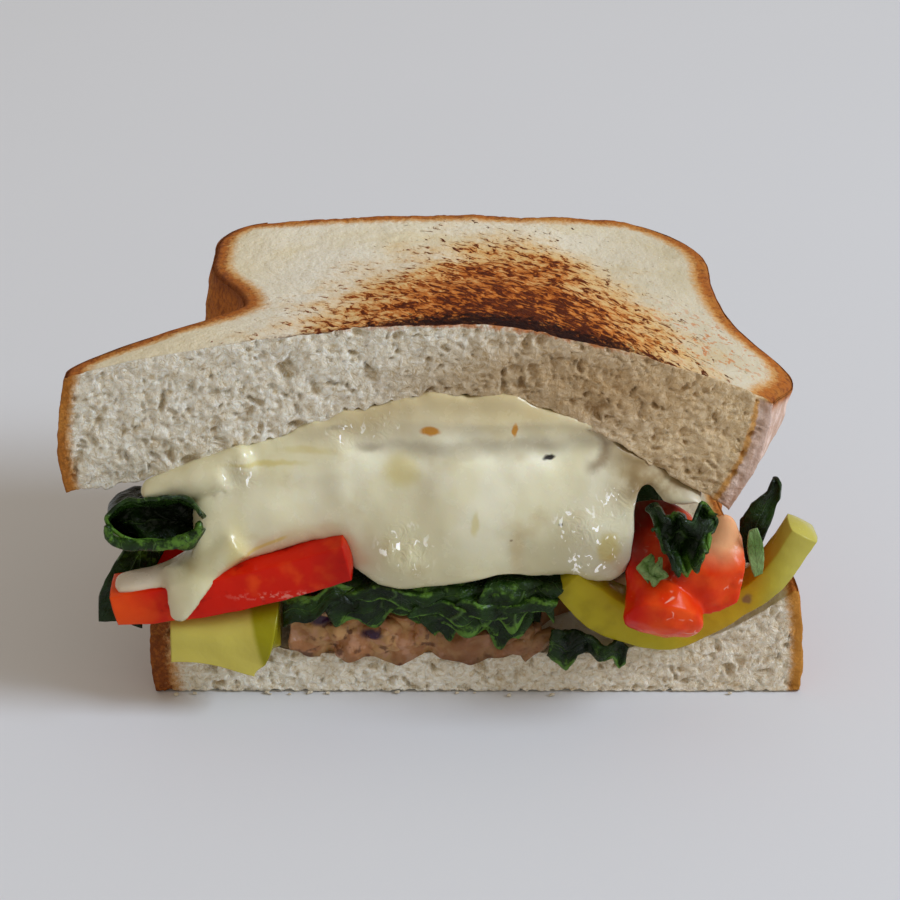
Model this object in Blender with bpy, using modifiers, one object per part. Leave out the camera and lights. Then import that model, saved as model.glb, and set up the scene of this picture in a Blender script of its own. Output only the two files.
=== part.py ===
"""Half of a grilled cheese sandwich, cut across and stood with its cut face towards -Y.

Metres, +Z up, +X to the right of the cut face. The origin is under the sandwich, on the flat
underside of the bottom slice, midway between the cut face and the back crust.
"""

import math

import bmesh
import bpy
from mathutils import Matrix, Vector, noise

# The cut, the back crust and the space kept between pieces that touch
CUT_Y = -0.0300
BACK_Y = 0.0310
GAP = 0.0005

# Each slice as seen from above: a burst shoulder by the cut, the waist left by the tin's rim, and the
# straight-sided base of the loaf behind it, with rounded corners
TOP_OUTLINE = {
    "back": BACK_Y, "bulge": 0.0014,
    "left": {
        "shoulder": 0.0615, "waist": 0.0340, "hip": 0.0410, "waist_y": -0.0115, "hip_y": 0.0130, "lean": -0.0012,
        "corner": 0.0085,
    },
    "right": {
        "shoulder": 0.0508, "waist": 0.0448, "hip": 0.0455, "waist_y": 0.0100, "hip_y": 0.0220, "lean": 0.0055,
        "corner": 0.0190,
    },
}
BOTTOM_OUTLINE = {
    "back": 0.0290, "bulge": 0.0006,
    "left": {
        "shoulder": 0.0500, "waist": 0.0360, "hip": 0.0405, "waist_y": -0.0140, "hip_y": 0.0160, "lean": 0.0,
        "corner": 0.0100,
    },
    "right": {
        "shoulder": 0.0580, "waist": 0.0475, "hip": 0.0490, "waist_y": 0.0060, "hip_y": 0.0200, "lean": -0.0014,
        "corner": 0.0120,
    },
}
RIGHT_SHOULDER_SWELL = 0.0062
SWELL_BEHIND_CUT = 0.0110
SWELL_REACH = 0.0082

# Heights of the top slice, which arches over the filling and is pressed thin where it was toasted
ARCH_PEAK = 0.0702
ARCH_DROP_LEFT = 0.0095
ARCH_DROP_RIGHT = 0.0139
ARCH_BACK = 0.0615
ARCH_BACK_DROOP = 0.0022
TOP_BACK_THICKNESS = 0.0208
PRESSED_THICKNESS = 0.0125
PRESSED_X = 0.0060
LEFT_THICKNESS = 0.0226
LEFT_REACH = 0.0380
RIGHT_THICKNESS = 0.0233
RIGHT_REACH = 0.0280

# Heights of the bottom slice, which the filling has pressed down along the cut
BASE_PRESSED = 0.0080
BASE_LEFT_RISE = 0.0068
BASE_RIGHT_RISE = 0.0130
BASE_BACK = 0.0185

# The layers that run through the food, with the height of the spread's upper edge from left to right
SPREAD_BACK_THICK = 0.0038
SPREAD_EDGE = [
    (-0.0280, 0.0168), (-0.0245, 0.0186), (-0.0166, 0.0183), (-0.0118, 0.0154), (-0.0040, 0.0152), (0.0015, 0.0124),
    (0.0084, 0.0126), (0.0160, 0.0130),
]
LEAVES_TOP = 0.0218
LEAVES_BACK_TOP = 0.0290
LEAF_SHEET = 0.0008

# Melted cheese: how far its front stands out of the cut, and the height of its lower edge, from left to right
CHEESE_LIP = 0.0062
CHEESE_RECESS = 0.0008
CHEESE_EDGE = [
    (-0.0420, 0.0235), (-0.0360, 0.0268), (-0.0240, 0.0305), (-0.0175, 0.0318), (-0.0160, 0.0262), (-0.0115, 0.0236),
    (-0.0080, 0.0228), (0.0030, 0.0242), (0.0160, 0.0240), (0.0205, 0.0254), (0.0265, 0.0236), (0.0290, 0.0258),
    (0.0302, 0.0395), (0.0322, 0.0415), (0.0350, 0.0372), (0.0390, 0.0368), (0.0415, 0.0400),
]

# Pepper pieces: cut sizes of the strips, as width across and height
STRIP_HEIGHT = 0.0072
STRIP_DEPTH = 0.0085
RING_WALL = 0.0082
RING_DEPTH = 0.0070

# The tall leaf behind the ring on the right: where its left and right edges are, from bottom to top
OUTER_LEAF_LEFT = [
    (0.0220, 0.0500), (0.0267, 0.0486), (0.0305, 0.0484), (0.0335, 0.0500), (0.0360, 0.0527), (0.0378, 0.0536),
]
OUTER_LEAF_RIGHT = [(0.0220, 0.0506), (0.0277, 0.0526), (0.0340, 0.0549), (0.0364, 0.0549), (0.0378, 0.0543)]

COLOURS = {
    "crumb": ((0.62, 0.54, 0.40), 0.85),
    "crust": ((0.40, 0.16, 0.06), 0.60),
    "cheese": ((0.75, 0.66, 0.40), 0.35),
    "leaf": ((0.03, 0.10, 0.02), 0.40),
    "red_pepper": ((0.62, 0.05, 0.012), 0.30),
    "yellow_pepper": ((0.50, 0.45, 0.06), 0.30),
    "spread": ((0.24, 0.13, 0.07), 0.45),
}


def ease(low, high, value):
    """0 below low, 1 above high, and a smooth curve between them."""
    t = min(1.0, max(0.0, (value - low) / (high - low)))
    return t * t * (3 - 2 * t)


def mix(a, b, t):
    return a + (b - a) * t


def along(points, value):
    """Height at value on the line through (place, height) points."""
    for (x0, z0), (x1, z1) in zip(points, points[1:]):
        if value <= x1:
            return mix(z0, z1, max(0.0, (value - x0) / (x1 - x0)))
    return points[-1][1]


def ripple(x, y, z, size, seed=0.0):
    """Smooth relief between about -1 and 1, with features as wide as size."""
    return 1.6 * noise.noise(Vector((x / size + seed, y / size - seed, z / size + 2 * seed)))


def half_width(side, outline, y):
    """Distance from the middle of a slice to its crust on one side, at depth y."""
    burst = 1 - ease(CUT_Y + 0.002, side["waist_y"], y)
    width = side["waist"] + (side["shoulder"] - side["waist"]) * burst
    width += (side["hip"] - side["waist"]) * ease(side["waist_y"], side["hip_y"], y)
    into_corner = max(0.0, y - (outline["back"] - side["corner"]))
    return width - (side["corner"] - math.sqrt(max(0.0, side["corner"] ** 2 - into_corner ** 2)))


def top_height(x, y):
    """Upper side of the top slice."""
    if x < 0:
        drop = ARCH_DROP_LEFT * (-x / TOP_OUTLINE["left"]["shoulder"]) ** 1.75
    else:
        drop = ARCH_DROP_RIGHT * (x / TOP_OUTLINE["right"]["shoulder"]) ** 1.7
    back = ARCH_BACK - ARCH_BACK_DROOP * (x / 0.040) ** 2
    return mix(ARCH_PEAK - drop, back, ease(CUT_Y - 0.010, BACK_Y, y))


def top_underside(x, y):
    """Lower side of the top slice."""
    if x < PRESSED_X:
        full, reach = LEFT_THICKNESS, LEFT_REACH
    else:
        full, reach = RIGHT_THICKNESS, RIGHT_REACH
    thick = mix(full, PRESSED_THICKNESS, math.exp(-(abs(x - PRESSED_X) / reach) ** 2.35))
    thick -= 0.0014 * ease(0.052, 0.062, -x)
    return top_height(x, y) - mix(thick, TOP_BACK_THICKNESS, ease(CUT_Y, 0.010, y))


def base_height(x, y):
    """Upper side of the bottom slice."""
    rise = BASE_LEFT_RISE * ease(0.022, 0.046, -x)
    rise += BASE_RIGHT_RISE * max(0.0, (x - 0.034) / 0.0245) ** 1.6
    return mix(BASE_PRESSED + rise, BASE_BACK, ease(CUT_Y, 0.012, y))


def spread_height(x, y):
    front = max(along(SPREAD_EDGE, x), base_height(x, y) + 0.0030)
    return mix(front, base_height(x, y) + SPREAD_BACK_THICK, ease(CUT_Y, 0.010, y))


def leaves_height(x, y):
    front = LEAVES_TOP - 0.0016 * ease(0.020, 0.028, -x) + 0.0006 * math.cos(x / 0.006)
    return mix(front, LEAVES_BACK_TOP, ease(-0.026, 0.014, y))


def make_material(name):
    colour, roughness = COLOURS[name]
    material = bpy.data.materials.new(name)
    material.use_nodes = True
    shader = material.node_tree.nodes["Principled BSDF"]
    shader.inputs["Base Color"].default_value = (*colour, 1.0)
    shader.inputs["Roughness"].default_value = roughness
    material.diffuse_color = (*colour, 1.0)
    return material


def add_object(name, bm, materials, collection):
    if bm.calc_volume(signed=True) < 0:
        bmesh.ops.reverse_faces(bm, faces=bm.faces)
    mesh = bpy.data.meshes.new(name)
    bm.to_mesh(mesh)
    bm.free()
    for material in materials:
        mesh.materials.append(material)
    obj = bpy.data.objects.new(name, mesh)
    collection.objects.link(obj)
    mesh.shade_smooth()
    mesh.set_sharp_from_angle(angle=math.radians(50))
    return obj


def block(name, cells, place, materials, collection):
    """A closed box cut into cells along its three sides, with each corner moved by place(u, v, w)."""
    bm = bmesh.new()
    bmesh.ops.create_cube(bm, size=1.0, matrix=Matrix.Translation((0.5, 0.5, 0.5)))
    for axis, count in enumerate(cells):
        across = Vector([float(axis == i) for i in range(3)])
        for step in range(1, count):
            everything = bm.verts[:] + bm.edges[:] + bm.faces[:]
            bmesh.ops.bisect_plane(
                bm, geom=everything, dist=1e-5, plane_co=across * (step / count), plane_no=across
            )
    for vert in bm.verts:
        vert.co = place(*vert.co)
    return add_object(name, bm, materials, collection)


def sheet(name, cells, place, thickness, materials, collection):
    """A thin leaf: an open triangulated grid moved by place(u, v), then thickened evenly."""
    bm = bmesh.new()
    bmesh.ops.create_grid(
        bm, x_segments=cells[0], y_segments=cells[1], size=0.5, matrix=Matrix.Translation((0.5, 0.5, 0))
    )
    bmesh.ops.triangulate(bm, faces=bm.faces)
    for vert in bm.verts:
        vert.co = place(vert.co.x, vert.co.y)
    obj = add_object(name, bm, materials, collection)
    solidify = obj.modifiers.new("Leaf thickness", "SOLIDIFY")
    solidify.thickness = thickness
    solidify.offset = 0
    return obj


def add_slice(name, outline, upper, lower, cells, swell, materials, collection):
    """A slice of bread: flat where it was cut, with bulging crust round its other three sides."""

    def place(u, v, w):
        depth = mix(v, 0.5 - 0.5 * math.cos(math.pi * v), 0.55)
        y = mix(CUT_Y, outline["back"], depth)
        crust = 4 * w * (1 - w)
        bulge = outline["bulge"] * crust
        left = half_width(outline["left"], outline, y) + bulge
        right = half_width(outline["right"], outline, y) + bulge
        behind_cut = math.exp(-((y - CUT_Y - SWELL_BEHIND_CUT) / SWELL_REACH) ** 2)
        right += swell * behind_cut * (0.4 + 0.6 * w)
        near_cut = 1 - 0.6 * ease(CUT_Y, 0.005, y)
        left -= outline["left"]["lean"] * (1 - w) * near_cut
        right -= outline["right"]["lean"] * (1 - w) * near_cut
        x = mix(-left, right, u)
        z = mix(lower(x, y), upper(x, y), w)
        if v == 0:
            y += 0.0005 * ripple(x, y, z, 0.0032, seed=3.0) * (w > 0 or lower(x, y) > 0)
        if v == 1:
            y += bulge
        return Vector((x, y, z))

    obj = block(name, cells, place, materials, collection)
    for polygon in obj.data.polygons:
        normal = polygon.normal
        polygon.material_index = int(abs(normal.z) < 0.5 and normal.y > -0.75)
    return obj


def swept(name, cells, spine, size, rounding, materials, collection, end=0.0006):
    """A strip carried along spine(u), which gives its middle, its along, its across and its up directions."""

    def place(u, v, w):
        middle, ahead, across, up = spine(u)
        width, height = size(u)
        a, b = 2 * v - 1, 2 * w - 1
        side = a * math.sqrt(1 - rounding * b * b / 2) * width / 2
        rise = b * math.sqrt(1 - rounding * a * a / 2) * height / 2
        push = (end if u == 1 else -end if u == 0 else 0.0) * (1 - a * a) * (1 - b * b)
        return middle + across * side + up * rise + ahead * push

    return block(name, cells, place, materials, collection)


def spine_through(points, across=Vector((0, 1, 0))):
    """A smooth spine through a few points, for swept(), by Catmull and Rom's rule."""
    line = [Vector(p) for p in points]
    line = [2 * line[0] - line[1], *line, 2 * line[-1] - line[-2]]

    def spot(u):
        place = u * (len(points) - 1)
        i = min(int(place), len(points) - 2)
        t = place - i
        a, b, c, d = line[i:i + 4]
        return 0.5 * (2 * b + (c - a) * t + (2 * a - 5 * b + 4 * c - d) * t ** 2 + (3 * b - a - 3 * c + d) * t ** 3)

    def spine(u):
        ahead = (spot(min(1.0, u + 0.02)) - spot(max(0.0, u - 0.02))).normalized()
        side = (across - ahead * across.dot(ahead)).normalized()
        return spot(u), ahead, side, ahead.cross(side)

    return spine


def filling_sides(v):
    """Left and right limits of the spread and the leaves, at share v of the way back."""
    y = mix(CUT_Y + 0.0004, 0.0245, v)
    left = -0.0268 - 0.0050 * ease(-0.018, -0.008, y)
    right = 0.0150 + 0.0235 * ease(-0.0246, -0.0110, y)
    round_off = 0.006 * ease(0.014, 0.0245, y)
    return y, left + round_off, right - round_off


def add_spread(materials, collection):
    def place(u, v, w):
        y, left, right = filling_sides(v)
        x = mix(left, right, u)
        z = mix(base_height(x, y) + 1.5 * GAP, spread_height(x, y), w)
        lump = 0.0011 * ripple(x, y, z, 0.0060, seed=7.0)
        if v in (0, 1):
            y += (lump - 0.0010) if v == 0 else lump
        elif u in (0, 1):
            x += lump / 2
        return Vector((x, y, z))

    return block("onion_spread", (16, 6, 3), place, materials, collection)


def add_leaves(materials, collection):
    def place(u, v, w):
        y, left, right = filling_sides(v)
        x = mix(left, right, u)
        z = mix(spread_height(x, y) + 1.8 * GAP, leaves_height(x, y), w)
        frill = 0.0016 * ripple(x, y, z * 1.6, 0.0042, seed=1.0)
        if v in (0, 1):
            y += (frill - 0.0018) if v == 0 else frill + 0.0010
        elif u in (0, 1):
            x += frill / 2
        return Vector((x, y, z))

    return block("leaf_layer", (20, 6, 4), place, materials, collection)


def add_cheese_sheet(materials, collection):
    """The cheese under the top slice, with the curtain that has run down over the cut."""

    def place(u, v, w):
        y = mix(CUT_Y, 0.0262, v ** 1.25)
        left = mix(0.0415, 0.0330, ease(-0.022, -0.008, y)) - 0.006 * ease(0.016, 0.0262, y)
        right = mix(0.0415, 0.0390, ease(-0.020, 0.0, y)) - 0.006 * ease(0.016, 0.0262, y)
        x = mix(-left, right, u)
        edge = along(CHEESE_EDGE, x)
        inner = max(leaves_height(x, y), spread_height(x, y)) + 1.7 * GAP
        if x > 0.0275:
            settle = ease(-0.010, 0.002, y)
        else:
            settle = ease(-0.0285, -0.0240, y)
        low = mix(edge, inner, settle)
        high = top_underside(x, max(y, CUT_Y)) - GAP
        z = mix(min(low, high - 0.0018), high, w)
        if v == 0:
            hang = math.sin(math.pi * 0.66 * (1 - w) ** 0.8) ** 0.8
            reach = CHEESE_LIP * (0.78 + 0.22 * math.sin(x / 0.0065 + 1.4))
            y += CHEESE_RECESS - reach * hang
        return Vector((x, y, z))

    return block("cheese", (30, 6, 6), place, materials, collection)


def add_cheese_tongue(materials, collection):
    """The thin run of cheese that lies along the red strip on the left, as far as its end."""
    spine = spine_through([
        (-0.0345, -0.0322, 0.0322), (-0.0420, -0.0330, 0.0268), (-0.0485, -0.0336, 0.0248), (-0.0548, -0.0340, 0.0241),
    ])
    return swept(
        "cheese_tongue", (8, 4, 4), spine, lambda u: (mix(0.0100, 0.0056, u), mix(0.0084, 0.0020, u ** 0.5)), 0.95,
        materials, collection,
    )


def add_cheese_drip(materials, collection):
    """The drop that hangs from the tongue over the front of the red strip."""
    spine = spine_through(
        [(-0.0425, -0.0350, 0.0272), (-0.0436, -0.0382, 0.0250), (-0.0442, -0.0391, 0.0212), (-0.0444, -0.0391, 0.0190)],
        across=Vector((1, 0, 0)),
    )
    return swept(
        "cheese_drip", (6, 4, 4), spine, lambda u: (mix(0.0082, 0.0026, u), 0.0024), 0.95, materials, collection
    )


def add_cheese_band(materials, collection):
    """The strand of cheese between the top slice and the folded leaf on the left."""
    spine = spine_through([
        (-0.0370, -0.0312, 0.0436), (-0.0425, -0.0314, 0.0420), (-0.0480, -0.0314, 0.0408), (-0.0552, -0.0312, 0.0390),
    ])
    return swept(
        "cheese_band", (8, 4, 4), spine, lambda u: (0.0052, mix(0.0044, 0.0018, u)), 0.95, materials, collection
    )


def strip_spine(u):
    """The long red strip, which lies across the left front and climbs to the right."""
    bend = math.sin(math.pi * u)
    middle = Vector((
        mix(-0.0552, -0.0168, u), mix(-0.0335, -0.0318, u) - 0.0006 * bend, mix(0.0208, 0.0290, u) - 0.0010 * bend
    ))
    ahead = Vector((1, 0.02, 0.22)).normalized()
    across = Vector((0, 1, 0))
    return middle, ahead, across, ahead.cross(across).normalized()


def add_peppers(materials, collection):
    red, yellow = [materials["red_pepper"]], [materials["yellow_pepper"]]
    swept(
        "red_strip", (12, 3, 3), strip_spine, lambda u: (STRIP_DEPTH, mix(0.0060, STRIP_HEIGHT, ease(0, 0.35, u))),
        0.35, red, collection,
    )
    rear = spine_through([(-0.0505, -0.0212, 0.0206), (-0.0430, -0.0212, 0.0246), (-0.0355, -0.0205, 0.0280)])
    swept("red_strip_rear", (7, 3, 2), rear, lambda u: (0.0068, 0.0058), 0.4, red, collection)
    low = spine_through(
        [(0.0348, -0.0400, 0.0205), (0.0352, -0.0340, 0.0236), (0.0360, -0.0260, 0.0262), (0.0350, -0.0180, 0.0272)],
        across=Vector((1, 0, -0.32)),
    )
    piece = swept("red_piece", (8, 4, 4), low, lambda u: (0.0128, mix(0.0100, 0.0080, u)), 0.85, red, collection, 0.0018)

    def upper_lobe(u, v, w):
        across, rise = 2 * v - 1, 2 * w - 1
        cap = 1 - ease(0.08, 0.30, u)
        half = mix(0.0046, 0.0061, cap) * mix(1.0, 0.46, ease(-0.1, 0.9, rise))
        tall = mix(0.0084, 0.0042, u)
        y = mix(-0.0378 + 0.0030 * ease(-0.1, 0.5, rise), -0.0278, u)
        if u in (0, 1):
            y += (0.0016 if u else -0.0016) * (1 - across ** 2) * (1 - rise ** 2)
        x = mix(0.0430, 0.0421, cap) + 0.0024 * ease(-0.1, 0.8, rise)
        x += across * math.sqrt(1 - 0.4 * rise ** 2) * half
        return Vector((x, y, 0.0292 + rise * math.sqrt(1 - 0.4 * across ** 2) * tall))

    lobe = block("upper_lobe", (7, 4, 4), upper_lobe, red, collection)
    union = piece.modifiers.new("Join the lobes", "BOOLEAN")
    union.operation = "UNION"
    union.object = lobe
    bpy.context.view_layer.update()
    piece.data = bpy.data.meshes.new_from_object(piece.evaluated_get(bpy.context.evaluated_depsgraph_get()))
    piece.modifiers.clear()
    bpy.data.objects.remove(lobe)
    ring = spine_through(
        [
            (0.0192, -0.0300, 0.0234), (0.0232, -0.0300, 0.0194), (0.0284, -0.0300, 0.0158), (0.0340, -0.0300, 0.0142),
            (0.0405, -0.0300, 0.0151), (0.0467, -0.0300, 0.0184), (0.0518, -0.0300, 0.0226), (0.0555, -0.0298, 0.0276),
            (0.0580, -0.0295, 0.0322),
        ],
        across=Vector((0, 1, 0)),
    )

    def ring_size(u):
        return RING_DEPTH, RING_WALL * (1 - 0.25 * ease(0.15, 0.0, u) - 0.34 * ease(0.42, 0.62, u))

    swept("yellow_ring", (22, 3, 3), ring, ring_size, 0.45, yellow, collection)

    def wedge(u, v, w):
        x = mix(-0.0462, mix(-0.0284, -0.0325, ease(0.4, 1.0, v)), u)
        back = min(1.0, v / 0.35)
        y = mix(-0.0205, -0.0310, back)
        under = base_height(x, y) + 0.0010
        turn = ease(0.35, 0.75, v) * math.radians(84)
        radius = mix(0.0010, mix(0.0182, 0.0196, u) - under + 0.0010, w)
        radius = mix(radius, mix(0.0010, 0.0064, w), ease(0.35, 0.75, v))
        down = max(0.0, (v - 0.68) / 0.32)
        y -= radius * math.sin(turn) + 0.0006 * down
        z = under - 0.0010 + radius * math.cos(turn) - mix(0.0042, 0.0030, u) * down
        return Vector((x, y, z))

    block("yellow_wedge", (5, 10, 2), wedge, yellow, collection)


def add_loose_leaves(materials, collection):
    """The leaves that stand clear of the layer, each a wavy sheet of its own."""
    leaf = [materials["leaf"]]

    def folded(u, v):
        turn = mix(-2.5, 2.5, u)
        tall = mix(0.0043, 0.0036, ease(0.15, 0.60, v))
        x = -0.0474 - 0.0080 * math.cos(turn) * (1 + 0.10 * v)
        z = mix(0.0383, 0.0352, ease(0, 0.30, v)) - tall * math.sin(turn) * (1 + 0.08 * math.cos(3 * turn))
        y = mix(-0.0372, -0.0245, v) + 0.0006 * math.sin(5 * turn)
        return Vector((x, y, z))

    sheet("leaf_left_folded", (16, 6), folded, LEAF_SHEET, leaf, collection)

    def hanging(u, v):
        outer = -0.0506 - 0.0086 * math.sin(math.pi / 2 * min(1.0, 0.12 + u))
        inner = mix(-0.0474, -0.0520, ease(0.0, 0.7, u))
        z = mix(0.0280, 0.0116, u) + 0.0012 * math.sin(2.5 * v + 1.0)
        y = -0.0276 + 0.0022 * v * (1 - u) + 0.0006 * math.sin(9 * u)
        return Vector((mix(outer, inner, v), y, z))

    sheet("leaf_left_hanging", (9, 5), hanging, LEAF_SHEET, leaf, collection)

    def front_left(u, v):
        x = mix(-0.0276, -0.0160, u)
        y = mix(-0.0340, -0.0322, v) - 0.0006 * math.sin(4 * u)
        z = mix(mix(0.0156, 0.0206, v), mix(0.0205, 0.0228, v), ease(0, 0.9, u)) + 0.0007 * math.sin(11 * u)
        return Vector((x, y, z))

    sheet("leaf_front_left", (9, 4), front_left, LEAF_SHEET, leaf, collection)

    def tip(u, v):
        x = mix(0.0170, 0.0298, u)
        fall = mix(0.0088, 0.0122, v)
        z = mix(fall + 0.0024 * v, fall - 0.0014, u) - 0.0018 * math.sin(math.pi * u) * (1 - v)
        y = -0.0328 - 0.0014 * math.sin(7 * u + 2 * v) - 0.0004 * v
        return Vector((x, y, z))

    sheet("leaf_front_tip", (9, 5), tip, LEAF_SHEET, leaf, collection)

    def curled(u, v):
        low = 0.0376 - 0.0088 * math.sin(math.pi * mix(0.06, 0.86, u))
        high = 0.0398 - 0.0016 * math.sin(math.pi * u)
        x = mix(0.0336, 0.0413, u)
        y = -0.0411 + 0.0008 * math.sin(8 * u) + 0.0032 * v
        return Vector((x, y, mix(low, high, v)))

    sheet("leaf_right_curled", (10, 5), curled, LEAF_SHEET, leaf, collection)

    def outer(u, v):
        z = mix(0.0222, 0.0378, u)
        left, right = along(OUTER_LEAF_LEFT, z), along(OUTER_LEAF_RIGHT, z)
        y = -0.0246 + 0.0006 * math.sin(6 * u + 4 * v) + 0.0012 * u
        return Vector((mix(left, right, v), y, z))

    sheet("leaf_right_outer", (11, 4), outer, LEAF_SHEET, leaf, collection)

    def pale(u, v):
        wide = 0.0006 + 0.0020 * math.sin(math.pi * mix(0.12, 0.88, u))
        x = mix(0.0506, 0.0492, u) + wide * (v - 0.5)
        return Vector((x, -0.0350 + 0.0004 * math.sin(5 * u), mix(0.0262, 0.0350, u) + 0.0006 * v))

    sheet("leaf_right_pale", (7, 3), pale, LEAF_SHEET, leaf, collection)


def grow(obj, amount, collection):
    """A copy of a piece, swollen by amount, that cuts room for it in the cheese."""
    graph = bpy.context.evaluated_depsgraph_get()
    mesh = bpy.data.meshes.new_from_object(obj.evaluated_get(graph))
    cutter = bpy.data.objects.new("room_for_" + obj.name, mesh)
    collection.objects.link(cutter)
    swell = cutter.modifiers.new("Swell", "DISPLACE")
    swell.strength = amount
    swell.mid_level = 0
    cutter.hide_render = True
    cutter.display_type = "WIRE"
    return cutter


def join_cheese(sandwich, cutters, materials):
    """Joins the runs of cheese to the sheet and cuts room in it for the pieces that it covers."""
    cheese = add_cheese_sheet([materials["cheese"]], sandwich)
    runs = bpy.data.collections.new("cheese_runs")
    bpy.context.scene.collection.children.link(runs)
    for add in (add_cheese_tongue, add_cheese_drip, add_cheese_band):
        add([materials["cheese"]], runs)
    union = cheese.modifiers.new("Join the runs", "BOOLEAN")
    union.operation = "UNION"
    union.operand_type = "COLLECTION"
    union.collection = runs
    bpy.context.view_layer.update()
    graph = bpy.context.evaluated_depsgraph_get()
    joined = bpy.data.meshes.new_from_object(cheese.evaluated_get(graph))
    cheese.modifiers.clear()
    cheese.data = joined
    for run in list(runs.objects):
        bpy.data.objects.remove(run)
    bpy.data.collections.remove(runs)
    covered = (
        "red_strip", "red_strip_rear", "red_piece", "yellow_ring", "leaf_left_folded",
        "leaf_right_curled", "leaf_left_hanging", "leaf_front_left",
    )
    for name in covered:
        cut = cheese.modifiers.new("Room for " + name, "BOOLEAN")
        cut.operation = "DIFFERENCE"
        cut.object = grow(bpy.data.objects[name], 0.0005, cutters)


def main():
    for obj in list(bpy.data.objects):
        bpy.data.objects.remove(obj)
    sandwich = bpy.data.collections.new("sandwich")
    cutters = bpy.data.collections.new("cutters")
    for collection in (sandwich, cutters):
        bpy.context.scene.collection.children.link(collection)
    materials = {name: make_material(name) for name in COLOURS}
    bread = [materials["crumb"], materials["crust"]]
    add_slice(
        "bottom_slice", BOTTOM_OUTLINE, base_height, lambda x, y: 0.0, (22, 12, 3), 0.0, bread, sandwich
    )
    add_slice(
        "top_slice", TOP_OUTLINE, top_height, top_underside, (26, 12, 4), RIGHT_SHOULDER_SWELL, bread, sandwich
    )
    add_spread([materials["spread"]], sandwich)
    add_leaves([materials["leaf"]], sandwich)
    add_peppers(materials, sandwich)
    add_loose_leaves(materials, sandwich)
    join_cheese(sandwich, cutters, materials)


main()
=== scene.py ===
import math
import bpy
import numpy as np
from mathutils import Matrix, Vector


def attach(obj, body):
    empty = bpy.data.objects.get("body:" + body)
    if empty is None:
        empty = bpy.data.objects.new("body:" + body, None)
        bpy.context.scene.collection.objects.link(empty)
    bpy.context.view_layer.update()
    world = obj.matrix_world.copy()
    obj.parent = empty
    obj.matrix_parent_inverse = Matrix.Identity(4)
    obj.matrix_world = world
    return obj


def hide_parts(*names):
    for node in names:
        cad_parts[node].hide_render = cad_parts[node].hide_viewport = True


# Half of a grilled cheese sandwich, cut face towards -Y, in metres as the CAD model is
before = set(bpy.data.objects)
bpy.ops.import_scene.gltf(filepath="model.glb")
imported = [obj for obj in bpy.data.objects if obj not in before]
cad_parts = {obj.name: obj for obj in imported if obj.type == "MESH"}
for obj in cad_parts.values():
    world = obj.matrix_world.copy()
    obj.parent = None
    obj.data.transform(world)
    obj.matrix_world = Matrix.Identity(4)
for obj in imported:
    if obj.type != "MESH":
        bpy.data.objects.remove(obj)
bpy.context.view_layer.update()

cut = {"y": -0.0300, "back": 0.0310, "gap": 0.0005}


# small helpers on whole arrays

def ease(low, high, value):
    t = np.clip((value - low) / (high - low), 0, 1)
    return t * t * (3 - 2 * t)  # 0 below low, 1 above high, smooth between


def mix(a, b, t):
    return a + (b - a) * t


def along(points, value):
    places, heights = zip(*points)
    return np.interp(value, places, heights)


def stack(x, y, z):
    return np.stack(np.broadcast_arrays(x, y, z), axis=-1).astype(float)


slopes = np.array([
    (1, 1, 0), (-1, 1, 0), (1, -1, 0), (-1, -1, 0), (1, 0, 1), (-1, 0, 1), (1, 0, -1), (-1, 0, -1),
    (0, 1, 1), (0, -1, 1), (0, 1, -1), (0, -1, -1), (1, 1, 0), (-1, 1, 0), (0, -1, 1), (0, -1, -1),
], float)


def scramble(cell, seed):
    # a whole number that looks random for each whole-number cell
    mixed = cell[..., 0] * 73856093 ^ cell[..., 1] * 19349663 ^ cell[..., 2] * 83492791
    mixed = mixed ^ (seed + 11) * 26544357
    mixed = ((mixed ^ (mixed >> 13)) * 1274126177) & 0x7FFFFFFF
    return mixed ^ (mixed >> 15)


def ripple(points, size, seed=0):
    # smooth random relief from about -1 to 1: each corner of a cell has a random slope, blended across it
    place = points / size
    cell = np.floor(place).astype(np.int64)
    t = place - cell
    s = t * t * t * (t * (t * 6 - 15) + 10)
    total = 0
    for corner in np.ndindex(2, 2, 2):
        slope = slopes[scramble(cell + corner, seed) % 16]
        share = np.where(corner, s, 1 - s).prod(axis=-1)
        total = total + share * (slope * (t - corner)).sum(axis=-1)
    return 1.4 * total


def rough(points, size, seed=0, layers=3):
    # ripples added up, each half as wide and half as high as the one before
    return sum(ripple(points, size / 2 ** i, seed + i) / 2 ** i for i in range(layers))


def pores(points, size, seed=0):
    # one random spot a cell: the distance to the nearest, in cells, and that spot's own random number
    place = points / size
    cell = np.floor(place).astype(np.int64)
    nearest = np.full(place.shape[:-1], 9.0)
    number = np.zeros(place.shape[:-1])
    for step in np.ndindex(3, 3, 3):
        other = cell + np.array(step) - 1
        spot = other + np.stack([scramble(other, seed + i) % 1000 / 1000 for i in range(3)], axis=-1)
        distance = np.linalg.norm(place - spot, axis=-1)
        closer = distance < nearest
        number = np.where(closer, scramble(other, seed + 3) % 1000 / 1000, number)
        nearest = np.where(closer, distance, nearest)
    return nearest, number


# meshes from arrays

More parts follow.
